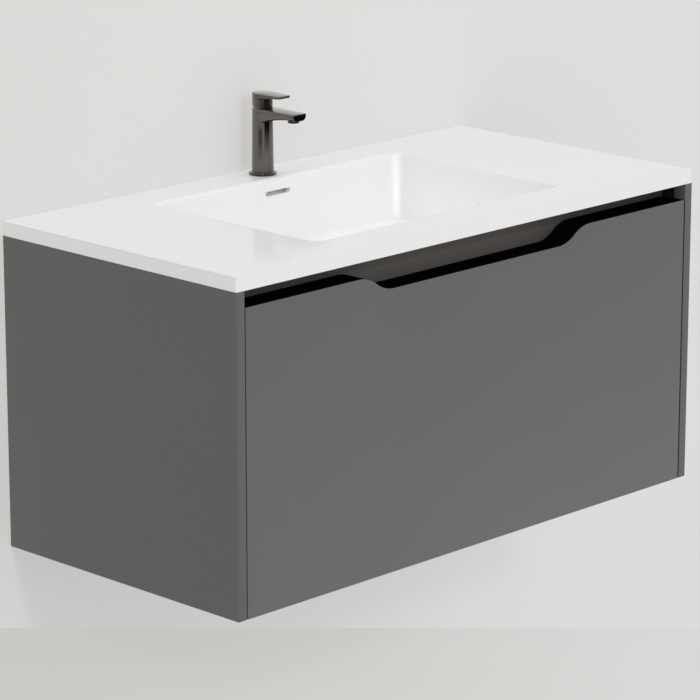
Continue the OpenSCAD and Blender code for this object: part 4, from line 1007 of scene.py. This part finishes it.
# %% Metals
# tones by which painted dark reflections darken the cut tips, the foot's edge and the cap's front
tips_y, tip_reflection_tone, foot_reflection_tone, cap_reflection_tone = tap_y - 0.0485, 0.30, 0.25, 0.30
foot_dark, foot_plain = deck + 0.0027, deck + 0.0035
recess_low, recess_high = deck + body_high + 0.0002, deck + lever_top - blade_root + 0.0007


def metal(colour, along, low, high, depth):
    """Bare or plated metal: brushing lines change its roughness and its height a little."""
    def build(tree):
        lines = use(tree, "brush_lines", Along=along)
        light = use(tree, "slow_clouds", Size=25.0, Amount=0.12)
        return {"Base Color": tinted(tree, colour, light),
                "Roughness": spread(tree, lines, low, high),
                "Normal": bumped(tree, lines, depth, 0.5)}
    return build


def gunmetal(tree):
    """Dark vapour-coated metal under a clear coat, with painted shade in the corners and painted
    dark reflections on the cut tips, on the foot's edge and on the front of the cap under the
    blade."""
    lines = use(tree, "brush_lines", Along=(60, 60, 5000))
    # painted shade: the colour is darker where the tap's own parts crowd in, from ambient occlusion
    near = put(tree, "ShaderNodeAmbientOcclusion", {"samples": 8, "only_local": True},
               Distance=0.05).outputs["AO"]
    painted_crevice_shade = maths(tree, "POWER", near, 3.0)
    normal = put(tree, "ShaderNodeVectorTransform",
                 {"vector_type": "NORMAL", "convert_from": "WORLD", "convert_to": "OBJECT"},
                 Vector=put(tree, "ShaderNodeNewGeometry").outputs["Normal"]).outputs[0]
    back = split(tree, normal)[1]
    y, z = split(tree, here(tree))[1:]
    # painted dark reflections on the cut tips, the foot's edge and the front of the cap
    painted_tip_reflection = times(tree, under(tree, y, tips_y), under(tree, back, -0.9))
    foot = ramp(tree, z, foot_dark, foot_plain, foot_reflection_tone, 1.0)
    under_blade = times(tree, above(tree, z, recess_low), under(tree, z, recess_high))
    cap_front_reflection = times(tree, under_blade, ramp(tree, back, -0.25, -0.55))
    light = times(tree, ramp(tree, painted_tip_reflection, 0.0, 1.0, 1.0, tip_reflection_tone),
                  times(tree, foot, ramp(tree, cap_front_reflection, 0.0, 1.0, 1.0, cap_reflection_tone)))
    return {"Base Color": tinted(tree, tone(103, 99, 97), times(tree, painted_crevice_shade, light)),
            "Roughness": spread(tree, lines, 0.03, 0.06),
            "Normal": bumped(tree, lines, 0.000003, 0.5)}


finish("gunmetal", gunmetal, Metallic=1.0, Coat_Weight=0.5, Coat_Roughness=0.03)
# name, colour, stretch of the brushing lines, lowest and highest roughness, depth of the lines
for name, *row in (("waste_metal", tone(190, 190, 189), (80, 80, 3000), 0.10, 0.18, 0.00001),
                   ("steel", tone(178, 179, 178), (900, 40, 900), 0.28, 0.42, 0.00002),
                   ("zinc", tone(176, 176, 172), (300, 300, 300), 0.42, 0.60, 0.00006),
                   ("brass", tone(203, 173, 108), (60, 60, 4000), 0.22, 0.34, 0.00001)):
    finish(name, metal(*row), Metallic=1.0)
print("finishes so far:", len(finishes))

# %% [markdown]
# Seals, clips and dowels are small and mostly hidden, but an open drawer shows some of them. One
# function covers rubber and plastics, which differ in tone, gloss and grain.

# %% Rubber, plastics and beech
def moulded(colour, low, high, size, depth):
    """Moulded rubber or plastic: an even skin with a fine spark-eroded grain."""
    def build(tree):
        skin = use(tree, "orange_peel", Size=size)
        light = use(tree, "slow_clouds", Size=18.0, Amount=0.08)
        return {"Base Color": tinted(tree, colour, light),
                "Roughness": spread(tree, skin, low, high),
                "Normal": bumped(tree, skin, depth, 0.6)}
    return build


def beech(tree):
    """Beech with its short dark flecks, drawn out along X, the length of each dowel."""
    flecks = use(tree, "brush_lines", Along=(60, 1400, 1400))
    mask = ramp(tree, flecks, 0.45, 0.62)
    colour = blend_colours(tree, mask, tone(206, 178, 134), tone(176, 140, 98))
    return {"Base Color": colour, "Roughness": spread(tree, flecks, 0.5, 0.65),
            "Normal": bumped(tree, flecks, 0.00005, 0.6)}


# name, colour, lowest and highest roughness, fineness and depth of the grain
for name, *row in (("rubber", tone(38, 38, 38), 0.62, 0.8, 2500.0, 0.00005),
                   ("white_plastic", tone(216, 214, 207), 0.3, 0.42, 3000.0, 0.00003),
                   ("duct_plastic", tone(244, 243, 240), 0.35, 0.5, 2600.0, 0.00003),
                   ("dark_plastic", tone(48, 47, 46), 0.38, 0.5, 3000.0, 0.00003),
                   ("ceramic_grey", tone(214, 210, 198), 0.3, 0.4, 2800.0, 0.00003)):
    finish(name, moulded(*row))
finish("beech", beech)
print("finishes:", len(finishes))

# %% [markdown]
# ## Dressing the pieces
# The record names a finish for each node of the model. One loop dresses the parts that keep their
# CAD shape, and a second one the seven pieces made above.

# %% Dress every piece
for row in frame["record"]["subparts"]:
    node = frame["nodes"][row["node"]]
    node.data.materials.clear()
    node.data.materials.append(finishes[row["material_slot"]])
for made in list(scene.objects):
    if made.type == "MESH" and made.get("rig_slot") and not made.data.materials:
        made.data.materials.append(finishes[made["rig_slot"]])
front.data.materials.append(finishes["black_board"])
front.data.polygons.foreach_set("material_index", black_edge)
